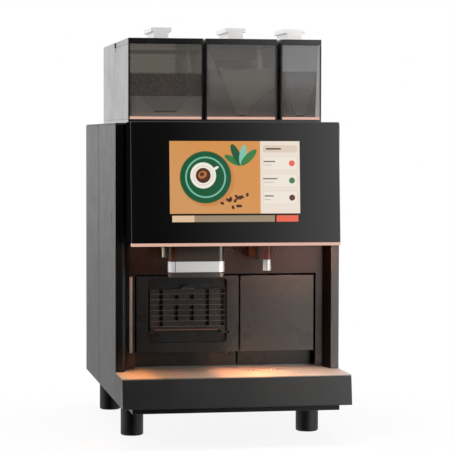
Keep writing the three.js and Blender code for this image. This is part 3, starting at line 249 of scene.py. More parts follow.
# Feet and base pan: turned black rubber feet, screwed under a folded and coated steel pan that carries the
# body. The grain that every finish but the glass shares, and the small round on sharp edges, are made
# here first.
grain_detail = 2.0
cloud_detail = 4.0
noise_roughness = 0.6
cloud_start = 0.3
cloud_end = 0.7
surface_grain = bpy.data.node_groups.new("surface_grain", "ShaderNodeTree")
for name, start in (("Grain Size", 0.0006), ("Cloud Size", 0.07)):
    socket = surface_grain.interface.new_socket(name, in_out="INPUT", socket_type="NodeSocketFloat")
    socket.default_value = start
socket = surface_grain.interface.new_socket("Stretch", in_out="INPUT", socket_type="NodeSocketVector")
socket.default_value = (1, 1, 1)
for name in ("Height", "Cloud"):
    surface_grain.interface.new_socket(name, in_out="OUTPUT", socket_type="NodeSocketFloat")
entry = surface_grain.nodes.new("NodeGroupInput")
leave = surface_grain.nodes.new("NodeGroupOutput")
place = grow(surface_grain, "ShaderNodeTexCoord", out=3)
drawn = grow(surface_grain, "ShaderNodeVectorMath", place, entry.outputs["Stretch"], operation="MULTIPLY")
grain_scale = reckon(surface_grain, "DIVIDE", 1.0, entry.outputs["Grain Size"])
cloud_scale = reckon(surface_grain, "DIVIDE", 1.0, entry.outputs["Cloud Size"])
grain = grow(surface_grain, "ShaderNodeTexNoise", drawn, grain_scale, grain_detail, noise_roughness)
cloud = grow(surface_grain, "ShaderNodeTexNoise", place, cloud_scale, cloud_detail, noise_roughness)
surface_grain.links.new(grain, leave.inputs["Height"])
surface_grain.links.new(ramp(surface_grain, cloud, cloud_start, cloud_end), leave.inputs["Cloud"])


def blend_tones(tree, mask, first, second):
    return grow(tree, "ShaderNodeMix", mask, first, second, data_type="RGBA")


def grained(name, dull, bright, smooth, rough, grain, relief, cloud=0.07, stretch=(1, 1, 1), **fixed):
    """A finish whose colour and roughness drift in soft clouds, with a fine grain in relief."""
    finish = bpy.data.materials.new(name)
    finish.use_nodes = True
    tree = finish.node_tree
    shader = tree.nodes["Principled BSDF"]
    for socket, value in fixed.items():
        shader.inputs[socket.replace("_", " ")].default_value = value
    effect = tree.nodes.new("ShaderNodeGroup")
    effect.node_tree = surface_grain
    effect.inputs["Grain Size"].default_value = grain
    effect.inputs["Cloud Size"].default_value = cloud
    effect.inputs["Stretch"].default_value = stretch
    colour = blend_tones(tree, effect.outputs["Cloud"], dull, bright)
    roughness = ramp(tree, effect.outputs["Cloud"], 0, 1, smooth, rough)
    bump = tree.nodes.new("ShaderNodeBump")
    bump.inputs["Strength"].default_value = relief
    bump.inputs["Distance"].default_value = grain / 2
    tree.links.new(effect.outputs["Height"], bump.inputs["Height"])
    tree.links.new(colour, shader.inputs["Base Color"])
    tree.links.new(roughness, shader.inputs["Roughness"])
    tree.links.new(bump.outputs["Normal"], shader.inputs["Normal"])
    return finish


sharp_turn = 0.8
rounded_shading = bpy.data.node_groups.new("rounded_shading", "GeometryNodeTree")
rounded_shading.interface.new_socket("Geometry", in_out="INPUT", socket_type="NodeSocketGeometry")
rounded_shading.interface.new_socket("Geometry", in_out="OUTPUT", socket_type="NodeSocketGeometry")
entry = rounded_shading.nodes.new("NodeGroupInput")
leave = rounded_shading.nodes.new("NodeGroupOutput")
clean = grow(rounded_shading, "GeometryNodeRemoveAttribute", entry.outputs[0], None, "custom_normal")
smooth = grow(rounded_shading, "GeometryNodeSetShadeSmooth", clean, None, True)
edge_turn = grow(rounded_shading, "GeometryNodeInputMeshEdgeAngle")
sharp = grow(rounded_shading, "FunctionNodeCompare", edge_turn, sharp_turn, operation="GREATER_THAN")
creased = grow(rounded_shading, "GeometryNodeSetShadeSmooth", smooth, sharp, False, domain="EDGE")
rounded_shading.links.new(creased, leave.inputs[0])

weld_gap = 0.00002
flat_turn = math.radians(0.6)
edge_least_turn = math.radians(40)


def dress(finish, *nodes, edge=0.0006, segments=2):
    """Gives nodes their finish, merges their loose triangles and rounds their sharp edges."""
    for name in nodes:
        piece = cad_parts[name]
        piece.data.materials.clear()
        piece.data.materials.append(finish)
        weld = piece.modifiers.new("weld", "WELD")
        weld.merge_threshold = weld_gap
        flat = piece.modifiers.new("flat_faces", "DECIMATE")
        flat.decimate_type = "DISSOLVE"
        flat.angle_limit = flat_turn
        bevel = piece.modifiers.new("edge", "BEVEL")
        bevel.width = edge
        bevel.segments = segments
        bevel.limit_method = "ANGLE"
        bevel.angle_limit = edge_least_turn
        shading = piece.modifiers.new("shading", "NODES")
        shading.node_group = rounded_shading
        normals = piece.modifiers.new("normals", "WEIGHTED_NORMAL")
        normals.keep_sharp = True


rubber = grained("foot_rubber", grey(7), grey(12), smooth=0.42, rough=0.55, grain=0.0008, relief=0.25)
dress(rubber, "foot_front_left", "foot_front_right", "foot_rear_left", "foot_rear_right", edge=0.0015)
tray_coat = grained("tray_coat", grey(34), grey(38), smooth=0.36, rough=0.44, grain=0.0005, relief=0.25)
dress(tray_coat, "base_pan")

# Chassis and works: bare sheet steel that carries the drawers, with the grinder, brewer, heater, pump and
# mixer in moulded plastic, brass and foil-faced felt.
plain_steel = grained(
    "plain_steel", tone(150, 150, 152), tone(176, 176, 178), smooth=0.28, rough=0.4, grain=0.0004,
    relief=0.15, stretch=(0.1, 1, 1), Metallic=1.0,
)
works_plastic = grained(
    "works_plastic", tone(58, 60, 62), tone(70, 72, 74), smooth=0.4, rough=0.55, grain=0.0006, relief=0.3,
)
brass = grained(
    "pump_brass", tone(176, 140, 82), tone(200, 164, 100), smooth=0.3, rough=0.42, grain=0.0005,
    relief=0.15, Metallic=1.0,
)
jacket = grained(
    "heater_jacket", tone(150, 152, 156), tone(188, 190, 194), smooth=0.35, rough=0.6, grain=0.004,
    relief=0.5, Metallic=0.6,
)
dress(
    plain_steel, "chassis_frame", "door_hinge_rod", "lid_hinge_rod", "outlet_rail", "centre_powder_auger",
    "right_powder_auger", "grinder_burr", "brew_piston", "mixer_whisk",
)
dress(works_plastic, "grinder_housing", "brew_chamber", "mixer_bowl")
dress(brass, "water_pump")
dress(jacket, "water_heater", edge=0.002)

# Panels: folded steel sheets in black fine-structure paint that wrap the sides and the front columns, with
# the smoother plate that carries the hoppers and the vented back. The rocker switch sits in the back, and
# the release slider behind a slot in the left side.
column_front = -0.1855
column_reach = 0.17
column_roughness = 0.2
cheek_inner = 0.1690
cheek_outer = 0.1900
cheek_front = -0.1850
cheek_back = -0.1500
seam_front = 0.0645
seam_back = 0.0695
seam_roughness = 1.0
side_face = 0.1880
plate_rim = 0.1860
rim_roughness = 0.36


def past(tree, value, limit):
    """A mask that is 1 where the value lies above a limit."""
    return reckon(tree, "GREATER_THAN", value, limit)


def short_of(tree, value, limit):
    """A mask that is 1 where the value lies below a limit."""
    return reckon(tree, "LESS_THAN", value, limit)


def between(tree, value, low, high):
    """A mask that is 1 where the value lies between two limits."""
    return times(tree, past(tree, value, low), short_of(tree, value, high))


def paint_over(finish, *coats):
    """Lays tones over a finish's own colour, each as far as its mask says."""
    tree = finish.node_tree
    base = tree.nodes["Principled BSDF"].inputs["Base Color"]
    colour = base.links[0].from_socket
    for mask, coat in coats:
        colour = blend_tones(tree, mask, colour, coat)
    tree.links.new(colour, base)


def rub_over(finish, mask, level):
    """Gives a finish another roughness where its mask is 1."""
    tree = finish.node_tree
    roughness = tree.nodes["Principled BSDF"].inputs["Roughness"]
    own = roughness.links[0].from_socket
    tree.links.new(grow(tree, "ShaderNodeMix", mask, own, level, data_type="FLOAT"), roughness)


paint = grained(
    "panel_paint", grey(34), grey(36), smooth=0.38, rough=0.42, grain=0.0009, relief=0.4, cloud=0.03,
)
# Painted light: the front faces of the columns are painted from near black at the left to mid grey at the
# right, as the light falls from the right.
tree = paint.node_tree
across, depth, _ = place_axes(tree)
from_middle = reckon(tree, "ABSOLUTE", across)
column = short_of(tree, depth, column_front)
to_the_right = ramp(tree, across, -column_reach, column_reach)
column_light_tone = blend_tones(tree, to_the_right, tone(17, 17, 16), tone(108, 108, 107))
# Painted shade: the inner cheeks of the columns beside the recess are painted near black.
cheek_shade = between(tree, from_middle, cheek_inner, cheek_outer)
cheek_shade = times(tree, cheek_shade, between(tree, depth, cheek_front, cheek_back))
# Painted shade: a strip over the gap between the front and rear side sheets is painted dark, and made
# rough.
seam_shade = times(tree, between(tree, depth, seam_front, seam_back), past(tree, from_middle, side_face))
paint_over(paint, (column, column_light_tone), (cheek_shade, tone(6, 5, 4)), (seam_shade, grey(3)))
rub_over(paint, column, column_roughness)
rub_over(paint, seam_shade, seam_roughness)
dress(
    paint, "side_panel_front_left", "side_panel_front_right", "side_panel_rear_left",
    "side_panel_rear_right", edge=0.0014,
)
dress(paint, "rear_panel", edge=0.0008)

top_paint = grained("top_paint", grey(38), grey(42), smooth=0.10, rough=0.14, grain=0.0009, relief=0.05)
tree = top_paint.node_tree
across, _, _ = place_axes(tree)
rub_over(top_paint, past(tree, reckon(tree, "ABSOLUTE", across), plate_rim), rim_roughness)
dress(top_paint, "top_panel", edge=0.0008)

slider_plastic = grained(
    "slider_plastic", grey(6), grey(8), smooth=0.5, rough=0.6, grain=0.0006, relief=0.3,
    Specular_IOR_Level=0.0,
)
dress(slider_plastic, "door_release_slider")
rocker_plastic = grained(
    "rocker_plastic", grey(8), grey(10), smooth=0.14, rough=0.2, grain=0.003, relief=0.05,
)
dress(rocker_plastic, "power_switch")

# Screws: button heads with a round socket, turned from steel, which hold the back: a row down each side
# sheet's flange, and one at the middle of the back's head and of its foot.
head_sides = 24
crown_share = 0.75
mouth_share = 0.5
socket_share = 0.7
screw_inset = 0.0085
flange_inset = 0.0220
screw_sink = 0.0002
screw_gaps = 4


def start_growing(name, *sizes):
    """Starts a tree with named sizes and a finish, and gives it with the identifiers of its inputs."""
    tree = bpy.data.node_groups.new(name, "GeometryNodeTree")
    tree.interface.new_socket("Geometry", in_out="INPUT", socket_type="NodeSocketGeometry")
    kinds = {size: "NodeSocketFloat" for size in sizes}
    kinds["Finish"] = "NodeSocketMaterial"
    inlets = {
        label: tree.interface.new_socket(label, in_out="INPUT", socket_type=kind).identifier
        for label, kind in kinds.items()
    }
    tree.interface.new_socket("Geometry", in_out="OUTPUT", socket_type="NodeSocketGeometry")
    return tree, inlets, tree.nodes.new("NodeGroupInput"), tree.nodes.new("NodeGroupOutput")


def finish_growing(name, places, tree, inlets, values):
    """Runs a tree on a mesh of places and keeps what it makes as one plain mesh."""
    piece = bpy.data.objects.new(name, places)
    bpy.context.collection.objects.link(piece)
    run = piece.modifiers.new(name, "NODES")
    run.node_group = tree
    for label, value in values.items():
        run[inlets[label]] = value
    evaluated = piece.evaluated_get(bpy.context.evaluated_depsgraph_get())
    piece.data = bpy.data.meshes.new_from_object(evaluated)
    piece.modifiers.clear()
    return piece


screw_finish = grained(
    "screw_steel", tone(96, 96, 98), tone(112, 112, 114), smooth=0.3, rough=0.4, grain=0.0004, relief=0.2,
    Metallic=0.6,
)
tree, screw_inlets, entry, leave = start_growing("panel_screws", "Head Radius", "Head Height")
radius = entry.outputs["Head Radius"]
crown = times(tree, radius, crown_share)
head = grow(tree, "GeometryNodeMeshCone", head_sides, 1, 1, crown, radius, entry.outputs["Head Height"])
rim = grow(tree, "GeometryNodeExtrudeMesh", head, head.node.outputs["Top"], None, 0.0, False)
mouth = grow(tree, "GeometryNodeScaleElements", rim, rim.node.outputs["Top"], mouth_share)
sunk = times(tree, entry.outputs["Head Height"], -socket_share)
drilled = grow(tree, "GeometryNodeExtrudeMesh", mouth, rim.node.outputs["Top"], None, sunk, False)
heads = grow(
    tree, "GeometryNodeInstanceOnPoints", entry.outputs["Geometry"], None, drilled, None, None,
    (-math.pi / 2, 0, 0),
)
real = grow(tree, "GeometryNodeRealizeInstances", heads)
painted = grow(tree, "GeometryNodeSetMaterial", real, None, entry.outputs["Finish"])
tree.links.new(painted, leave.inputs[0])

back_low, back_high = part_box("rear_panel")
screw_seat = back_high.y - screw_sink
first_screw = back_low.z + screw_inset
last_screw = back_high.z - screw_inset
screw_places = []
for step in range(screw_gaps + 1):
    up_the_back = first_screw + (back_high.z - back_low.z - 2 * screw_inset) * step / screw_gaps
    screw_places += [
        (back_low.x + flange_inset, screw_seat, up_the_back),
        (back_high.x - flange_inset, screw_seat, up_the_back),
    ]
screw_places += [(0, screw_seat, first_screw), (0, screw_seat, last_screw)]
spots = bpy.data.meshes.new("panel_screws")
spots.from_pydata(screw_places, [], [])
screws = finish_growing("panel_screws", spots, tree, screw_inlets, {
    "Head Radius": 0.0034, "Head Height": 0.0015, "Finish": screw_finish,
})
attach(screws, "machine")

# Recess: a folded steel sheet in dark paint that backs the cup space and frames the drawers. It is fixed
# to the chassis. Its left side is painted near black as painted shade, and a strip beside the left drawer
# carries a painted highlight.
cheek_edge = -0.1650
fold_edge = -0.1595
fold_low = 0.1462
fold_high = 0.2766
fold_face = -0.1538
recess_paint = grained(
    "recess_paint", tone(38, 25, 20), tone(42, 28, 22), smooth=0.26, rough=0.32, grain=0.0005,
    relief=0.15,
)
tree = recess_paint.node_tree
across, depth, height = place_axes(tree)
# Painted shade on the left side, and a painted highlight on the strip beside the left drawer.
cheek_shade = short_of(tree, across, cheek_edge)
fold_highlight = between(tree, across, cheek_edge, fold_edge)
fold_highlight = times(tree, fold_highlight, between(tree, height, fold_low, fold_high))
fold_highlight = times(tree, fold_highlight, short_of(tree, depth, fold_face))
paint_over(recess_paint, (cheek_shade, tone(8, 6, 5)), (fold_highlight, tone(222, 229, 234)))
dress(recess_paint, "recess_frame")

# Tray: a deep tray of coated sheet that pulls out at the front, with a brushed steel drip plate laid in
# it. The plate's colour is painted with the door's warm light, with painted shade under the outlet and a
# painted reflection further right.
patch_share = 0.75
dress(tray_coat, "drip_tray", edge=0.001)
drip_steel = grained(
    "drip_steel", tone(188, 182, 176), tone(204, 198, 192), smooth=0.4, rough=0.5, grain=0.0005,
    relief=0.2, stretch=(0.06, 1, 1), Metallic=0.2,
)
tree = drip_steel.node_tree
across, _, _ = place_axes(tree)
# Painted light, shade and reflection: warm light at the left and middle, grey shade under the outlet and a
# grey reflection at the right.
light_and_shade_patches = tone(203, 168, 121)
for start, end, patch_tone in (
    (-0.150, -0.115, tone(114, 110, 102)),
    (-0.050, -0.010, tone(230, 187, 154)),
    (0.040, 0.120, tone(150, 146, 144)),
):
    light_and_shade_patches = blend_tones(tree, ramp(tree, across, start, end), light_and_shade_patches, patch_tone)
paint_over(drip_steel, (patch_share, light_and_shade_patches))
dress(drip_steel, "drip_plate", edge=0.0004)

# Drawers: satin moulded fronts, painted lighter towards the right as painted light and with painted shade
# in the finger grip under the lip, clipped to open moulded bins that slide on the deck of the chassis.
grip_low = 0.1000
grip_high = 0.1460
dark_end = -0.02
lighter_start = 0.03
lightest_start = 0.14
drawer_plastic = grained(
    "drawer_plastic", tone(33, 34, 34), tone(37, 38, 38), smooth=0.26, rough=0.32, grain=0.0006,
    relief=0.15,
)
tree = drawer_plastic.node_tree
across, _, height = place_axes(tree)
# Painted light grows towards the right; the finger grip under the lip is painted dark as painted shade.
paint_over(
    drawer_plastic,
    (ramp(tree, across, dark_end, lighter_start), tone(66, 67, 67)),
    (ramp(tree, across, lighter_start, lightest_start), tone(74, 75, 74)),
    (between(tree, height, grip_low, grip_high), tone(14, 16, 17)),
)
dress(drawer_plastic, "grounds_drawer_front", "tank_drawer_front")
black_plastic = grained(
    "black_plastic", grey(26), grey(31), smooth=0.4, rough=0.52, grain=0.0006, relief=0.3,
)
dress(black_plastic, "grounds_bin")
tank_plastic = grained(
    "tank_plastic", tone(150, 158, 164), tone(164, 172, 178), smooth=0.3, rough=0.4, grain=0.001,
    relief=0.1,
)
dress(tank_plastic, "water_tank")

# Cup shelf: a louvred grille moulded in black plastic, which folds down from its pocket in the left
# drawer. A painted highlight of the door's light lies along an edge of each louvre and along the foot of
# the grille.
rib_pitch = 0.0092
first_rib = 0.1904
lit_start = 0.02
lit_end = 0.10
louvre_face = -0.1548
foot_low = 0.1846
foot_high = 0.1857
foot_left = -0.122
foot_right = -0.013
shelf_plastic = grained(
    "shelf_plastic", tone(30, 29, 28), tone(34, 33, 32), smooth=0.3, rough=0.4, grain=0.0006, relief=0.2,
)
tree = shelf_plastic.node_tree
across, depth, height = place_axes(tree)
row = reckon(tree, "DIVIDE", reckon(tree, "SUBTRACT", height, first_rib), rib_pitch)
row = reckon(tree, "FRACT", row)
# Painted highlights: a pale line along each louvre and a warm line along the foot of the grille.
rib = times(tree, between(tree, row, lit_start, lit_end), short_of(tree, depth, louvre_face))
foot = between(tree, height, foot_low, foot_high)
foot = times(tree, foot, between(tree, across, foot_left, foot_right))
paint_over(shelf_plastic, (rib, tone(128, 124, 118)), (foot, tone(176, 124, 98)))
dress(shelf_plastic, "cup_shelf", edge=0.0003)

# Door: a moulded shell that carries the display and hangs on the rod at the right column, faced with one
# pane of black glass over the lit picture. The picture is a plain design of a cup on a round tray, leaves
# and beans, with a panel of three tiles beside it and a bar below.
outline_outside = 1.05
outline_inside = 0.95
door_plastic = grained(
    "door_plastic", grey(16), grey(20), smooth=0.5, rough=0.6, grain=0.0006, relief=0.3,
    Specular_IOR_Level=0.0,
)
dress(door_plastic, "door_shell", "display_module")

picture_shape = bpy.data.node_groups.new("picture_shape", "ShaderNodeTree")
for name in (
    "Across", "Up", "Centre Across", "Centre Up", "Half Width", "Half Height", "Turn", "Squareness",
):
    picture_shape.interface.new_socket(name, in_out="INPUT", socket_type="NodeSocketFloat")
picture_shape.interface.new_socket("Mask", in_out="OUTPUT", socket_type="NodeSocketFloat")
entry = picture_shape.nodes.new("NodeGroupInput")
leave = picture_shape.nodes.new("NodeGroupOutput")


def in_shape(kind, *values):
    return reckon(picture_shape, kind, *values)


sideways = in_shape("SUBTRACT", entry.outputs["Across"], entry.outputs["Centre Across"])
upward = in_shape("SUBTRACT", entry.outputs["Up"], entry.outputs["Centre Up"])
cosine = in_shape("COSINE", entry.outputs["Turn"])
sine = in_shape("SINE", entry.outputs["Turn"])
along = in_shape("ADD", in_shape("MULTIPLY", sideways, cosine), in_shape("MULTIPLY", upward, sine))
aside = in_shape("SUBTRACT", in_shape("MULTIPLY", upward, cosine), in_shape("MULTIPLY", sideways, sine))
along_share = in_shape("DIVIDE", in_shape("ABSOLUTE", along), entry.outputs["Half Width"])
aside_share = in_shape("DIVIDE", in_shape("ABSOLUTE", aside), entry.outputs["Half Height"])
reach = in_shape(
    "ADD",
    in_shape("POWER", along_share, entry.outputs["Squareness"]),
    in_shape("POWER", aside_share, entry.outputs["Squareness"]),
)
picture_shape.links.new(ramp(picture_shape, reach, outline_outside, outline_inside), leave.inputs["Mask"])

deep_green = tone(22, 88, 54)
leaf_green = tone(54, 124, 66)
mint = tone(128, 196, 172)
cream = tone(244, 238, 226)
roast = tone(84, 44, 28)
dark_roast = tone(52, 28, 20)
coral = tone(232, 98, 72)
warm_grey = tone(120, 112, 104)
pale_line = tone(206, 194, 178)

# Each row is tone, centre across and up from the picture's lower left corner, half width, half height,
# turn in degrees and squareness, where 2 is an oval and 10 is nearly a block.
picture_rows = [
    (tone(206, 138, 76), 0.0640, 0.0560, 0.0450, 0.0440, 0, 2),
    (deep_green, 0.0600, 0.0600, 0.0430, 0.0430, 0, 2),
    (mint, 0.0600, 0.0600, 0.0340, 0.0340, 0, 2),
    (deep_green, 0.0600, 0.0600, 0.0315, 0.0315, 0, 2),
    (cream, 0.0560, 0.0630, 0.0215, 0.0215, 0, 2),
    (pale_line, 0.0560, 0.0630, 0.0165, 0.0165, 0, 2),
    (cream, 0.0560, 0.0630, 0.0155, 0.0155, 0, 2),
    (cream, 0.0765, 0.0745, 0.0060, 0.0022, 30, 3),
    (roast, 0.0560, 0.0630, 0.0125, 0.0125, 0, 2),
    (tone(176, 112, 62), 0.0548, 0.0642, 0.0078, 0.0062, 25, 2),
    (roast, 0.0540, 0.0650, 0.0036, 0.0030, 25, 2),
]
stalk_across = 0.1200
stalk_up = 0.0800
leaf_slimness = 0.34
for leaf_turn, leaf_half, leaf_tone in (
    (150, 0.016, leaf_green), (115, 0.019, deep_green), (80, 0.017, mint), (45, 0.018, leaf_green),
):
    lean = math.radians(leaf_turn)
    leaf_across = stalk_across + leaf_half * math.cos(lean)
    leaf_up = stalk_up + leaf_half * math.sin(lean)
    leaf_sizes = (leaf_across, leaf_up, leaf_half, leaf_half * leaf_slimness)
    picture_rows.append((leaf_tone, *leaf_sizes, leaf_turn, 2))
drawn_beans = 16
beans_across = 0.1080
beans_up = 0.0230
bean_draw = random.Random(4)
for count in range(drawn_beans):
    bean_turn = bean_draw.uniform(0, 180)
    bean_across = beans_across + bean_draw.gauss(0, 0.0110)
    bean_up = beans_up + bean_draw.gauss(0, 0.0065)
    picture_rows.append((dark_roast, bean_across, bean_up, 0.0034, 0.0023, bean_turn, 2))
    picture_rows.append((tone(128, 74, 46), bean_across, bean_up, 0.0030, 0.0004, bean_turn, 2))
tile_middle = 0.1855
dot_middle = 0.2055
upper_line = 0.1625
lower_line = 0.1600
line_rise = 0.0030
lower_share = 0.7
panel_rows = [
    (tone(222, 204, 184), tile_middle, 0.1070, 0.0290, 0.0060, 0, 10),
    (tone(84, 76, 70), 0.1745, 0.1070, 0.0130, 0.0014, 0, 6),
]
for tile_up, dot_tone, line_half in (
    (0.0830, coral, 0.0100), (0.0545, leaf_green, 0.0125), (0.0260, roast, 0.0080),
):
    panel_rows += [
        (pale_line, tile_middle, tile_up, 0.0290, 0.0112, 0, 10),
        (tone(240, 230, 218), tile_middle, tile_up, 0.0286, 0.0108, 0, 10),
        (dot_tone, dot_middle, tile_up, 0.0050, 0.0050, 0, 2),
        (warm_grey, upper_line + line_half / 2, tile_up + line_rise, line_half, 0.0011, 0, 6),
        (pale_line, lower_line + line_half / 2, tile_up - line_rise, line_half * lower_share, 0.0008, 0, 6),
    ]

picture_left = -0.1117
picture_right = 0.1072
picture_low = 0.3873
picture_high = 0.5070
panel_left = 0.0403
panel_blur = 0.0001
sweep_start = 0.04
sweep_end = 0.22
bar_low = 0.3736
bar_high = 0.3842
bar_left = -0.1080
bar_dark_left = -0.0710
bar_dark_right = 0.0640
button_left = 0.0670
button_right = 0.1040
glass_front = -0.2525
glass = bpy.data.materials.new("black_glass")
glass.use_nodes = True
tree = glass.node_tree
shader = tree.nodes["Principled BSDF"]
shader.inputs["Base Color"].default_value = grey(24)
shader.inputs["Roughness"].default_value = 0.08
across, depth, height = place_axes(tree)
picture_across = reckon(tree, "SUBTRACT", across, picture_left)
picture_up = reckon(tree, "SUBTRACT", height, picture_low)


def draw_rows(lit, rows):
    """Draws shapes over the picture so far, one after another."""
    for shape_tone, *sizes, shape_turn, squareness in rows:
        shape = tree.nodes.new("ShaderNodeGroup")
        shape.node_tree = picture_shape
        tree.links.new(picture_across, shape.inputs["Across"])
        tree.links.new(picture_up, shape.inputs["Up"])
        for socket, value in zip(("Centre Across", "Centre Up", "Half Width", "Half Height"), sizes):
            shape.inputs[socket].default_value = value
        shape.inputs["Turn"].default_value = math.radians(shape_turn)
        shape.inputs["Squareness"].default_value = squareness
        lit = blend_tones(tree, shape.outputs["Mask"], lit, shape_tone)
    return lit


sweep = reckon(tree, "ADD", picture_across, picture_up)
lit = blend_tones(tree, ramp(tree, sweep, sweep_start, sweep_end), tone(212, 154, 98), tone(216, 146, 76))
lit = draw_rows(lit, picture_rows)
beige = ramp(tree, across, panel_left - panel_blur, panel_left + panel_blur)
lit = draw_rows(blend_tones(tree, beige, lit, tone(236, 224, 210)), panel_rows)
in_picture = between(tree, across, picture_left, picture_right)
in_picture = times(tree, in_picture, between(tree, height, picture_low, picture_high))
dark_sand = between(tree, across, bar_dark_left, bar_dark_right)
bar_tone = blend_tones(tree, dark_sand, tone(226, 194, 162), tone(156, 138, 112))
bar_tone = blend_tones(tree, past(tree, across, button_left), bar_tone, coral)
in_bar = reckon(
    tree, "MAXIMUM", between(tree, across, bar_left, bar_dark_right),
    between(tree, across, button_left, button_right),
)
in_bar = times(tree, between(tree, height, bar_low, bar_high), in_bar)
lit = blend_tones(tree, in_bar, lit, bar_tone)
shown = times(tree, reckon(tree, "MAXIMUM", in_picture, in_bar), short_of(tree, depth, glass_front))
tree.links.new(blend_tones(tree, shown, (0, 0, 0, 1), lit), shader.inputs["Emission Color"])
shader.inputs["Emission Strength"].default_value = 0.95
dress(glass, "door_glass", edge=0.0011)

# Light bars: milky plastic strips let into the foot of the door and of each hopper, and lit from inside.
# Small lamps under the door stand for the warm light that its bar throws on the tray and into the recess.
glow_front = -0.262
glow_height = 0.3325
tray_spot = (-0.240, 0.10)
recess_lamp_spot = (-0.20, 0.330)
recess_spot = (-0.155, 0.22)
light_strip = grained(
    "light_strip", tone(120, 96, 88), tone(128, 102, 94), smooth=0.4, rough=0.5, grain=0.002, relief=0.1,
)
shader = light_strip.node_tree.nodes["Principled BSDF"]
shader.inputs["Emission Color"].default_value = tone(218, 175, 157)
shader.inputs["Emission Strength"].default_value = 0.88
dress(
    light_strip, "door_light_bar", "bean_hopper_light", "centre_powder_hopper_light",
    "right_powder_hopper_light",
)
for side, middle, width, power, colour, spread in (
    ("left", -0.150, 0.07, 0.07, (1.0, 0.30, 0.05), 50),
    ("right", 0.070, 0.17, 0.20, (1.0, 0.58, 0.36), 60),
):
    soft_lamp(
        f"door_glow_{side}", place=(middle, glow_front, glow_height), aim=(middle, *tray_spot),
        width=width, height=0.010, power=power, colour=colour, spread=spread,
    )
for middle, width, power in ((-0.145, 0.04, 0.035), (-0.002, 0.035, 0.06), (0.118, 0.09, 0.14)):
    soft_lamp(
        "recess_glow", place=(middle, *recess_lamp_spot), aim=(middle, *recess_spot), width=width,
        height=0.012, power=power, colour=(1.0, 0.48, 0.30), glossy=False,
    )

# Outlet: a gloss black moulded housing that slides up and down on its rail, with a bare satin chrome band
# round its foot and the moulded spouts under it.
sheen_left = -0.108
sheen_right = -0.092
sheen_low = 0.34
sheen_high = 0.36
joint_left = -0.0995
joint_right = -0.0986
band_front = -0.2400
gloss_black = grained("gloss_black", grey(16), grey(16), smooth=0.12, rough=0.2, grain=0.003, relief=0.05)
tree = gloss_black.node_tree
across, _, height = place_axes(tree)
# Painted reflection: the lower housing is painted with the door's warm light, orange at the left corner and
# grey-brown across the front.
to_the_right = ramp(tree, across, sheen_left, sheen_right)
painted_reflection = blend_tones(tree, to_the_right, tone(126, 66, 34), tone(108, 100, 92))
paint_over(gloss_black, (ramp(tree, height, sheen_low, sheen_high, low=1.0, high=0.0), painted_reflection))
dress(gloss_black, "outlet_housing")
satin_chrome = grained(
    "satin_chrome", grey(236), grey(244), smooth=0.3, rough=0.38, grain=0.0004, relief=0.1,
    stretch=(0.1, 1, 1), Metallic=0.3, Emission_Strength=0.25,
)
tree = satin_chrome.node_tree
across, depth, _ = place_axes(tree)
joint_line = between(tree, across, joint_left, joint_right)
joint_line = times(tree, joint_line, short_of(tree, depth, band_front))
paint_over(satin_chrome, (joint_line, grey(40)))
# Painted highlight: the band glows a little, all but its dark joint line.
painted_glow = blend_tones(tree, joint_line, (1, 1, 1, 1), (0, 0, 0, 1))
tree.links.new(painted_glow, tree.nodes["Principled BSDF"].inputs["Emission Color"])
dress(satin_chrome, "outlet_trim_band")
spout_plastic = grained(
    "spout_plastic", tone(94, 92, 90), tone(100, 98, 96), smooth=0.3, rough=0.4, grain=0.0006, relief=0.2,
)
dress(spout_plastic, "outlet_spout_block")

# Nozzles: two satin steel tubes beside the outlet, the left one on an arm from the bulkhead and the right
# one held under a moulded bracket. The bracket's colour is painted with the door's warm light, with painted
# shade on its left flank and at the left edge of its front, and a painted highlight down its front.
flank_edge = 0.0413
front_edge = 0.0455
highlight_left = 0.0592
highlight_right = 0.0614
# Painted highlight: the satin steel glows a little; the water nozzle and the lid handles share it.
satin_steel = grained(
    "satin_steel", tone(248, 246, 243), tone(252, 250, 248), smooth=0.3, rough=0.4, grain=0.0005,
    relief=0.1, Metallic=0.2, Emission_Color=(1, 1, 1, 1), Emission_Strength=0.15,
)
dress(satin_steel, "water_nozzle")
tinted_steel = grained(
    "tinted_steel", tone(134, 178, 186), tone(144, 188, 196), smooth=0.35, rough=0.45, grain=0.0005,
    relief=0.1,
)
dress(tinted_steel, "steam_nozzle")
bracket_plastic = grained(
    "bracket_plastic", tone(132, 48, 12), tone(140, 54, 18), smooth=0.3, rough=0.38, grain=0.0006,
    relief=0.2,
)
tree = bracket_plastic.node_tree
across, _, _ = place_axes(tree)
# Painted light and shade: warm light in the colour, shade on the left flank and at the left edge of the
# front, and a highlight down the front.
paint_over(
    bracket_plastic,
    (short_of(tree, across, flank_edge), tone(92, 70, 64)),
    (between(tree, across, flank_edge, front_edge), tone(24, 12, 6)),
    (between(tree, across, highlight_left, highlight_right), tone(240, 196, 172)),
)
dress(bracket_plastic, "water_outlet_bracket")

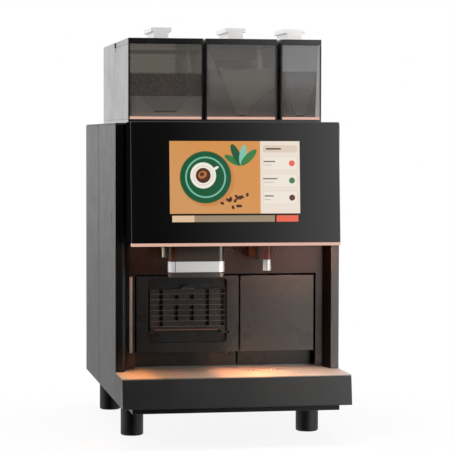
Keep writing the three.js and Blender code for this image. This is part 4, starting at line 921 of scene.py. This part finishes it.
# Hoppers: polished black moulded boxes with pale insides, which stand in the top plate, with smoked
# windows let into their fronts. Gloss lids with satin T handles turn on the rod at the back.
wall_skin = 0.002
inside_front = -0.1530
inside_back = 0.2138
inside_low = 0.5470
inside_high = 0.6706
inside_roughness = 0.7
bed_low = 0.5830
bed_high = 0.6200
bed_back = -0.1470
bean_side = -0.0370
hopper_finish = grained(
    "hopper_plastic", grey(20), grey(24), smooth=0.14, rough=0.2, grain=0.002, relief=0.04,
)
tree = hopper_finish.node_tree
across, depth, height = place_axes(tree)
inside = 0.0
for name in ("bean_hopper", "centre_powder_hopper", "right_powder_hopper"):
    hopper_low, hopper_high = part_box(name)
    room = between(tree, across, hopper_low.x + wall_skin, hopper_high.x - wall_skin)
    inside = reckon(tree, "MAXIMUM", inside, room)
inside = times(tree, inside, between(tree, depth, inside_front, inside_back))
inside = times(tree, inside, between(tree, height, inside_low, inside_high))
beside_beans = times(tree, between(tree, height, bed_low, bed_high), short_of(tree, across, bean_side))
beside_beans = times(tree, beside_beans, between(tree, depth, inside_front, bed_back))
pale = blend_tones(tree, beside_beans, tone(164, 159, 153), tone(74, 66, 60))
paint_over(hopper_finish, (inside, pale))
rub_over(hopper_finish, inside, inside_roughness)
dress(hopper_finish, "bean_hopper", "centre_powder_hopper", "right_powder_hopper")

window_top = 0.671
far_left = -0.17
far_right = 0.17
right_side = 0.0925
wall_left = -0.0872
wall_right = -0.0862
lid_low = 0.6540
lid_high = 0.6605
clear_left = -0.0300
clear_right = -0.0180
edge_lean = 0.036
edge_start = 0.1612
clear_veil = 0.25
window_finish = grained(
    "smoked_window", tone(124, 121, 117), tone(132, 129, 125), smooth=0.06, rough=0.1, grain=0.004,
    relief=0.02,
)
tree = window_finish.node_tree
shader = tree.nodes["Principled BSDF"]
across, _, height = place_axes(tree)
on_left = between(tree, across, far_left, bean_side)
on_centre = between(tree, across, bean_side, right_side)
on_right = between(tree, across, right_side, far_right)


def window_band(window, start, full):
    """A mask that grows over a window between two heights."""
    return times(tree, ramp(tree, height, start, full), window)


# Painted light and shade: each window is painted with the lit inside of its hopper over the beans and
# powders, with a painted shadow under the lid's rim on the left window, painted shade at the foot of the
# middle and right windows and a painted highlight along the right edge of the right window.
over_beans = window_band(on_left, start=0.6195, full=0.6245)
on_left_wall = times(tree, over_beans, ramp(tree, across, wall_right, wall_left))
lid_shadow = times(tree, between(tree, height, lid_low, lid_high), on_left)
centre_powder = window_band(on_centre, start=0.590, full=0.615)
over_centre = window_band(on_centre, start=0.622, full=0.632)
right_powder = window_band(on_right, start=0.585, full=0.612)
over_right = window_band(on_right, start=0.6245, full=0.6275)
foot_shade = window_band(ramp(tree, across, clear_left, clear_right), start=0.590, full=0.560)
under_top = reckon(tree, "SUBTRACT", window_top, height)
edge_highlight = past(tree, reckon(tree, "MULTIPLY_ADD", under_top, edge_lean, across), edge_start)
painted_light_and_shade = shader.inputs["Base Color"].links[0].from_socket
veil = clear_veil
for mask, light_and_shade_tone, share in (
    (over_beans, tone(178, 174, 164), 0.30),
    (on_left_wall, tone(208, 202, 188), 0.30),
    (lid_shadow, tone(168, 165, 156), 0.28),
    (centre_powder, tone(168, 163, 158), 0.25),
    (over_centre, tone(184, 180, 178), 0.36),
    (right_powder, tone(188, 186, 186), 0.31),
    (over_right, tone(236, 234, 236), 0.45),
    (foot_shade, tone(48, 46, 44), 0.27),
    (edge_highlight, tone(250, 249, 246), 0.6),
):
    painted_light_and_shade = blend_tones(tree, mask, painted_light_and_shade, light_and_shade_tone)
    veil = grow(tree, "ShaderNodeMix", mask, veil, share, data_type="FLOAT")
tree.links.new(painted_light_and_shade, shader.inputs["Base Color"])
tree.links.new(veil, shader.inputs["Alpha"])
dress(window_finish, "bean_hopper_window", "centre_powder_hopper_window", "right_powder_hopper_window")
lid_spot = (-0.02, 0.663)
contents_spot = (0.05, 0.60)
for middle, power in ((-0.103, 0.05), (0.027, 0.08)):
    soft_lamp(
        "hopper_glow", place=(middle, *lid_spot), aim=(middle, *contents_spot), width=0.10, height=0.2,
        power=power, glossy=False,
    )
lid_plastic = grained(
    "lid_plastic", grey(28), grey(32), smooth=0.16, rough=0.22, grain=0.0008, relief=0.05,
)
dress(lid_plastic, "bean_lid", "centre_powder_lid", "right_powder_lid")
# The handles glow a little as a painted highlight.
dress(satin_steel, "bean_lid_handle", "centre_powder_lid_handle", "right_powder_lid_handle")

# Contents: roasted beans and two powders, loose in the hoppers and filled a little over half way. They
# stay clear of the leaning walls and of the dosing screws.
hopper_wall = 0.0025
heap_clearance = 0.0006
heap_front = -0.1479
heap_lip = -0.1468
heap_back = 0.2124
raised_floor = 0.578
brim = 0.625
lip_step = 0.0001
kink_step = 0.0005
top_spans = 28
rows_back = 24
wave_count = 5
rates_across = (20, 90)
rates_back = (15, 60)
wave_starts = (0, 6.3)


def heap(name, walls, kinks, crest, ripple, finish):
    """A closed body of loose goods between leaning walls, lofted from front to back under a wavy top."""
    def sides(height):
        """Where the goods end at the left and at the right at a height."""
        for (high, left_high, right_high), (low, left_low, right_low) in zip(walls, walls[1:]):
            if height >= low:
                break
        share = (height - low) / (high - low)
        left = left_low + (left_high - left_low) * share + heap_clearance
        return left, right_low + (right_high - right_low) * share - heap_clearance

    loose = random.Random(name)
    waves = [
        (loose.uniform(*rates_across), loose.uniform(*rates_back), loose.uniform(*wave_starts))
        for _ in range(wave_count)
    ]
    stations = [heap_front, heap_lip, heap_lip + lip_step]
    stations += [heap_lip + (heap_back - heap_lip) * step / rows_back for step in range(1, rows_back + 1)]
    bm = bmesh.new()
    rings = []
    for count, station in enumerate(stations):
        base = kinks[0] if count < 2 else raised_floor
        heights = [max(kink, base + kink_step * order) for order, kink in enumerate(kinks)]
        ring = [(sides(height)[1], height) for height in heights]
        left, right = sides(brim)
        for step in range(top_spans + 1):
            across = right + (left - right) * step / top_spans
            wave = sum(math.sin(wide * across + deep * station + start) for wide, deep, start in waves)
            ring.append((across, crest + ripple * wave))
        ring += [(sides(height)[0], height) for height in heights[::-1]]
        rings.append([bm.verts.new((x, station, z)) for x, z in ring])
    for near, far in zip(rings, rings[1:]):
        for here in range(len(near)):
            after = (here + 1) % len(near)
            bm.faces.new((near[here], near[after], far[after], far[here]))
    bm.faces.new(rings[0][::-1])
    bm.faces.new(rings[-1])
    bmesh.ops.recalc_face_normals(bm, faces=bm.faces)
    mesh = bpy.data.meshes.new(name)
    bm.to_mesh(mesh)
    bm.free()
    mesh.materials.append(finish)
    body = bpy.data.objects.new(name, mesh)
    bpy.context.collection.objects.link(body)
    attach(body, "machine")


# Each row of walls is a height and where the left and the right wall stand there.
wall_top = 0.671
wall_knee = 0.600
knee_drop = 0.071
chute_foot = 0.556
chute_half = 0.018
trough_drop = 0.108
trough_half = 0.014
trough_rows = ((0.563, trough_half), (0.556, 0.0121), (0.551, 0.0072))
screw_shift = 0.0025
shoulder = 0.008
bean_low, bean_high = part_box("bean_hopper")
bean_middle = (bean_low.x + bean_high.x) / 2
bean_walls = [
    (wall_top, bean_low.x + hopper_wall, bean_high.x - hopper_wall),
    (wall_knee, bean_low.x + hopper_wall, bean_high.x - hopper_wall),
    (chute_foot, bean_middle - chute_half, bean_middle + chute_half),
]
centre_low, centre_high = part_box("centre_powder_hopper")
screw_x = (centre_low.x + centre_high.x) / 2 + screw_shift
slope = (screw_x - trough_half - centre_low.x - hopper_wall) / trough_drop
centre_walls = [
    (wall_top, centre_low.x + hopper_wall, centre_high.x - hopper_wall),
    (wall_knee, centre_low.x + hopper_wall + slope * knee_drop, centre_high.x - hopper_wall),
]
centre_walls += [(level, screw_x - half, screw_x + half) for level, half in trough_rows]
right_low, right_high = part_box("right_powder_hopper")
right_middle = (right_low.x + right_high.x) / 2
right_walls = [
    (wall_top, right_low.x + hopper_wall, right_high.x - hopper_wall),
    (wall_knee, right_low.x + hopper_wall + shoulder, right_high.x - hopper_wall - shoulder),
]
right_walls += [(level, right_middle - half, right_middle + half) for level, half in trough_rows]

roasted = grained(
    "roasted_beans", tone(52, 38, 28), tone(86, 64, 48), smooth=0.3, rough=0.5, grain=0.002, relief=0.3,
    cloud=0.006,
)
cocoa = grained(
    "centre_powder", tone(186, 177, 168), tone(196, 187, 178), smooth=0.85, rough=0.95, grain=0.0012,
    relief=0.6, cloud=0.012,
)
milk = grained(
    "right_powder", tone(182, 180, 179), tone(194, 192, 190), smooth=0.85, rough=0.95, grain=0.0012,
    relief=0.6, cloud=0.012,
)
tree = roasted.node_tree
_, _, height = place_axes(tree)
paint_over(roasted, (short_of(tree, height, bed_low), tone(150, 144, 137)))
chute_kinks = (0.558, 0.570, 0.585, 0.600, 0.612)
trough_kinks = (0.5515, 0.5562, 0.5632, 0.600, 0.612)
heap("bean_heap", bean_walls, chute_kinks, crest=0.6205, ripple=0.0008, finish=roasted)
heap("centre_powder_heap", centre_walls, trough_kinks, crest=0.630, ripple=0.0007, finish=cocoa)
heap("right_powder_heap", right_walls, trough_kinks, crest=0.628, ripple=0.0007, finish=milk)

bean_shape = (1.0, 0.76, 0.62)
any_turn = (6.28, 6.28, 6.28)
most_beans = 60000
scattered_beans, bean_inlets, entry, leave = start_growing("scattered_beans", "Spacing", "Half Length")
spots = scattered_beans.nodes.new("GeometryNodeDistributePointsOnFaces")
spots.distribute_method = "POISSON"
spots.inputs["Density Max"].default_value = most_beans
spots.inputs["Seed"].default_value = 7
scattered_beans.links.new(entry.outputs["Geometry"], spots.inputs["Mesh"])
scattered_beans.links.new(entry.outputs["Spacing"], spots.inputs["Distance Min"])
kernel = grow(scattered_beans, "GeometryNodeMeshIcoSphere", 1.0, 2)
kernel = grow(scattered_beans, "GeometryNodeTransform", kernel, None, None, bean_shape)
turned = scattered_beans.nodes.new("FunctionNodeRandomValue")
turned.data_type = "FLOAT_VECTOR"
turned.inputs["Min"].default_value = (0, 0, 0)
turned.inputs["Max"].default_value = any_turn
turned.inputs["Seed"].default_value = 3
strewn = scattered_beans.nodes.new("GeometryNodeInstanceOnPoints")
scattered_beans.links.new(spots.outputs["Points"], strewn.inputs["Points"])
scattered_beans.links.new(kernel, strewn.inputs["Instance"])
scattered_beans.links.new(turned.outputs["Value"], strewn.inputs["Rotation"])
scattered_beans.links.new(entry.outputs["Half Length"], strewn.inputs["Scale"])
real = grow(scattered_beans, "GeometryNodeRealizeInstances", strewn.outputs["Instances"])
smooth = grow(scattered_beans, "GeometryNodeSetShadeSmooth", real, None, True)
painted = grow(scattered_beans, "GeometryNodeSetMaterial", smooth, None, entry.outputs["Finish"])
scattered_beans.links.new(painted, leave.inputs[0])

margin = 0.0055
bed_top = 0.620
bed_knee = 0.602
bed_foot = 0.586
foot_inset = 0.028
_, left, right = bean_walls[0]
bed = bpy.data.meshes.new("loose_beans")
bed.from_pydata([
    (left + margin, heap_front, bed_top), (left + margin, heap_front, bed_knee),
    (left + foot_inset, heap_front, bed_foot), (right - foot_inset, heap_front, bed_foot),
    (right - margin, heap_front, bed_knee), (right - margin, heap_front, bed_top),
    (right - margin, heap_back - margin, bed_top), (left + margin, heap_back - margin, bed_top),
], [], [(0, 1, 2, 3, 4, 5), (0, 5, 6, 7)])
loose_beans = finish_growing("loose_beans", bed, scattered_beans, bean_inlets, {
    "Spacing": 0.0068, "Half Length": 0.0040, "Finish": roasted,
})
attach(loose_beans, "machine")
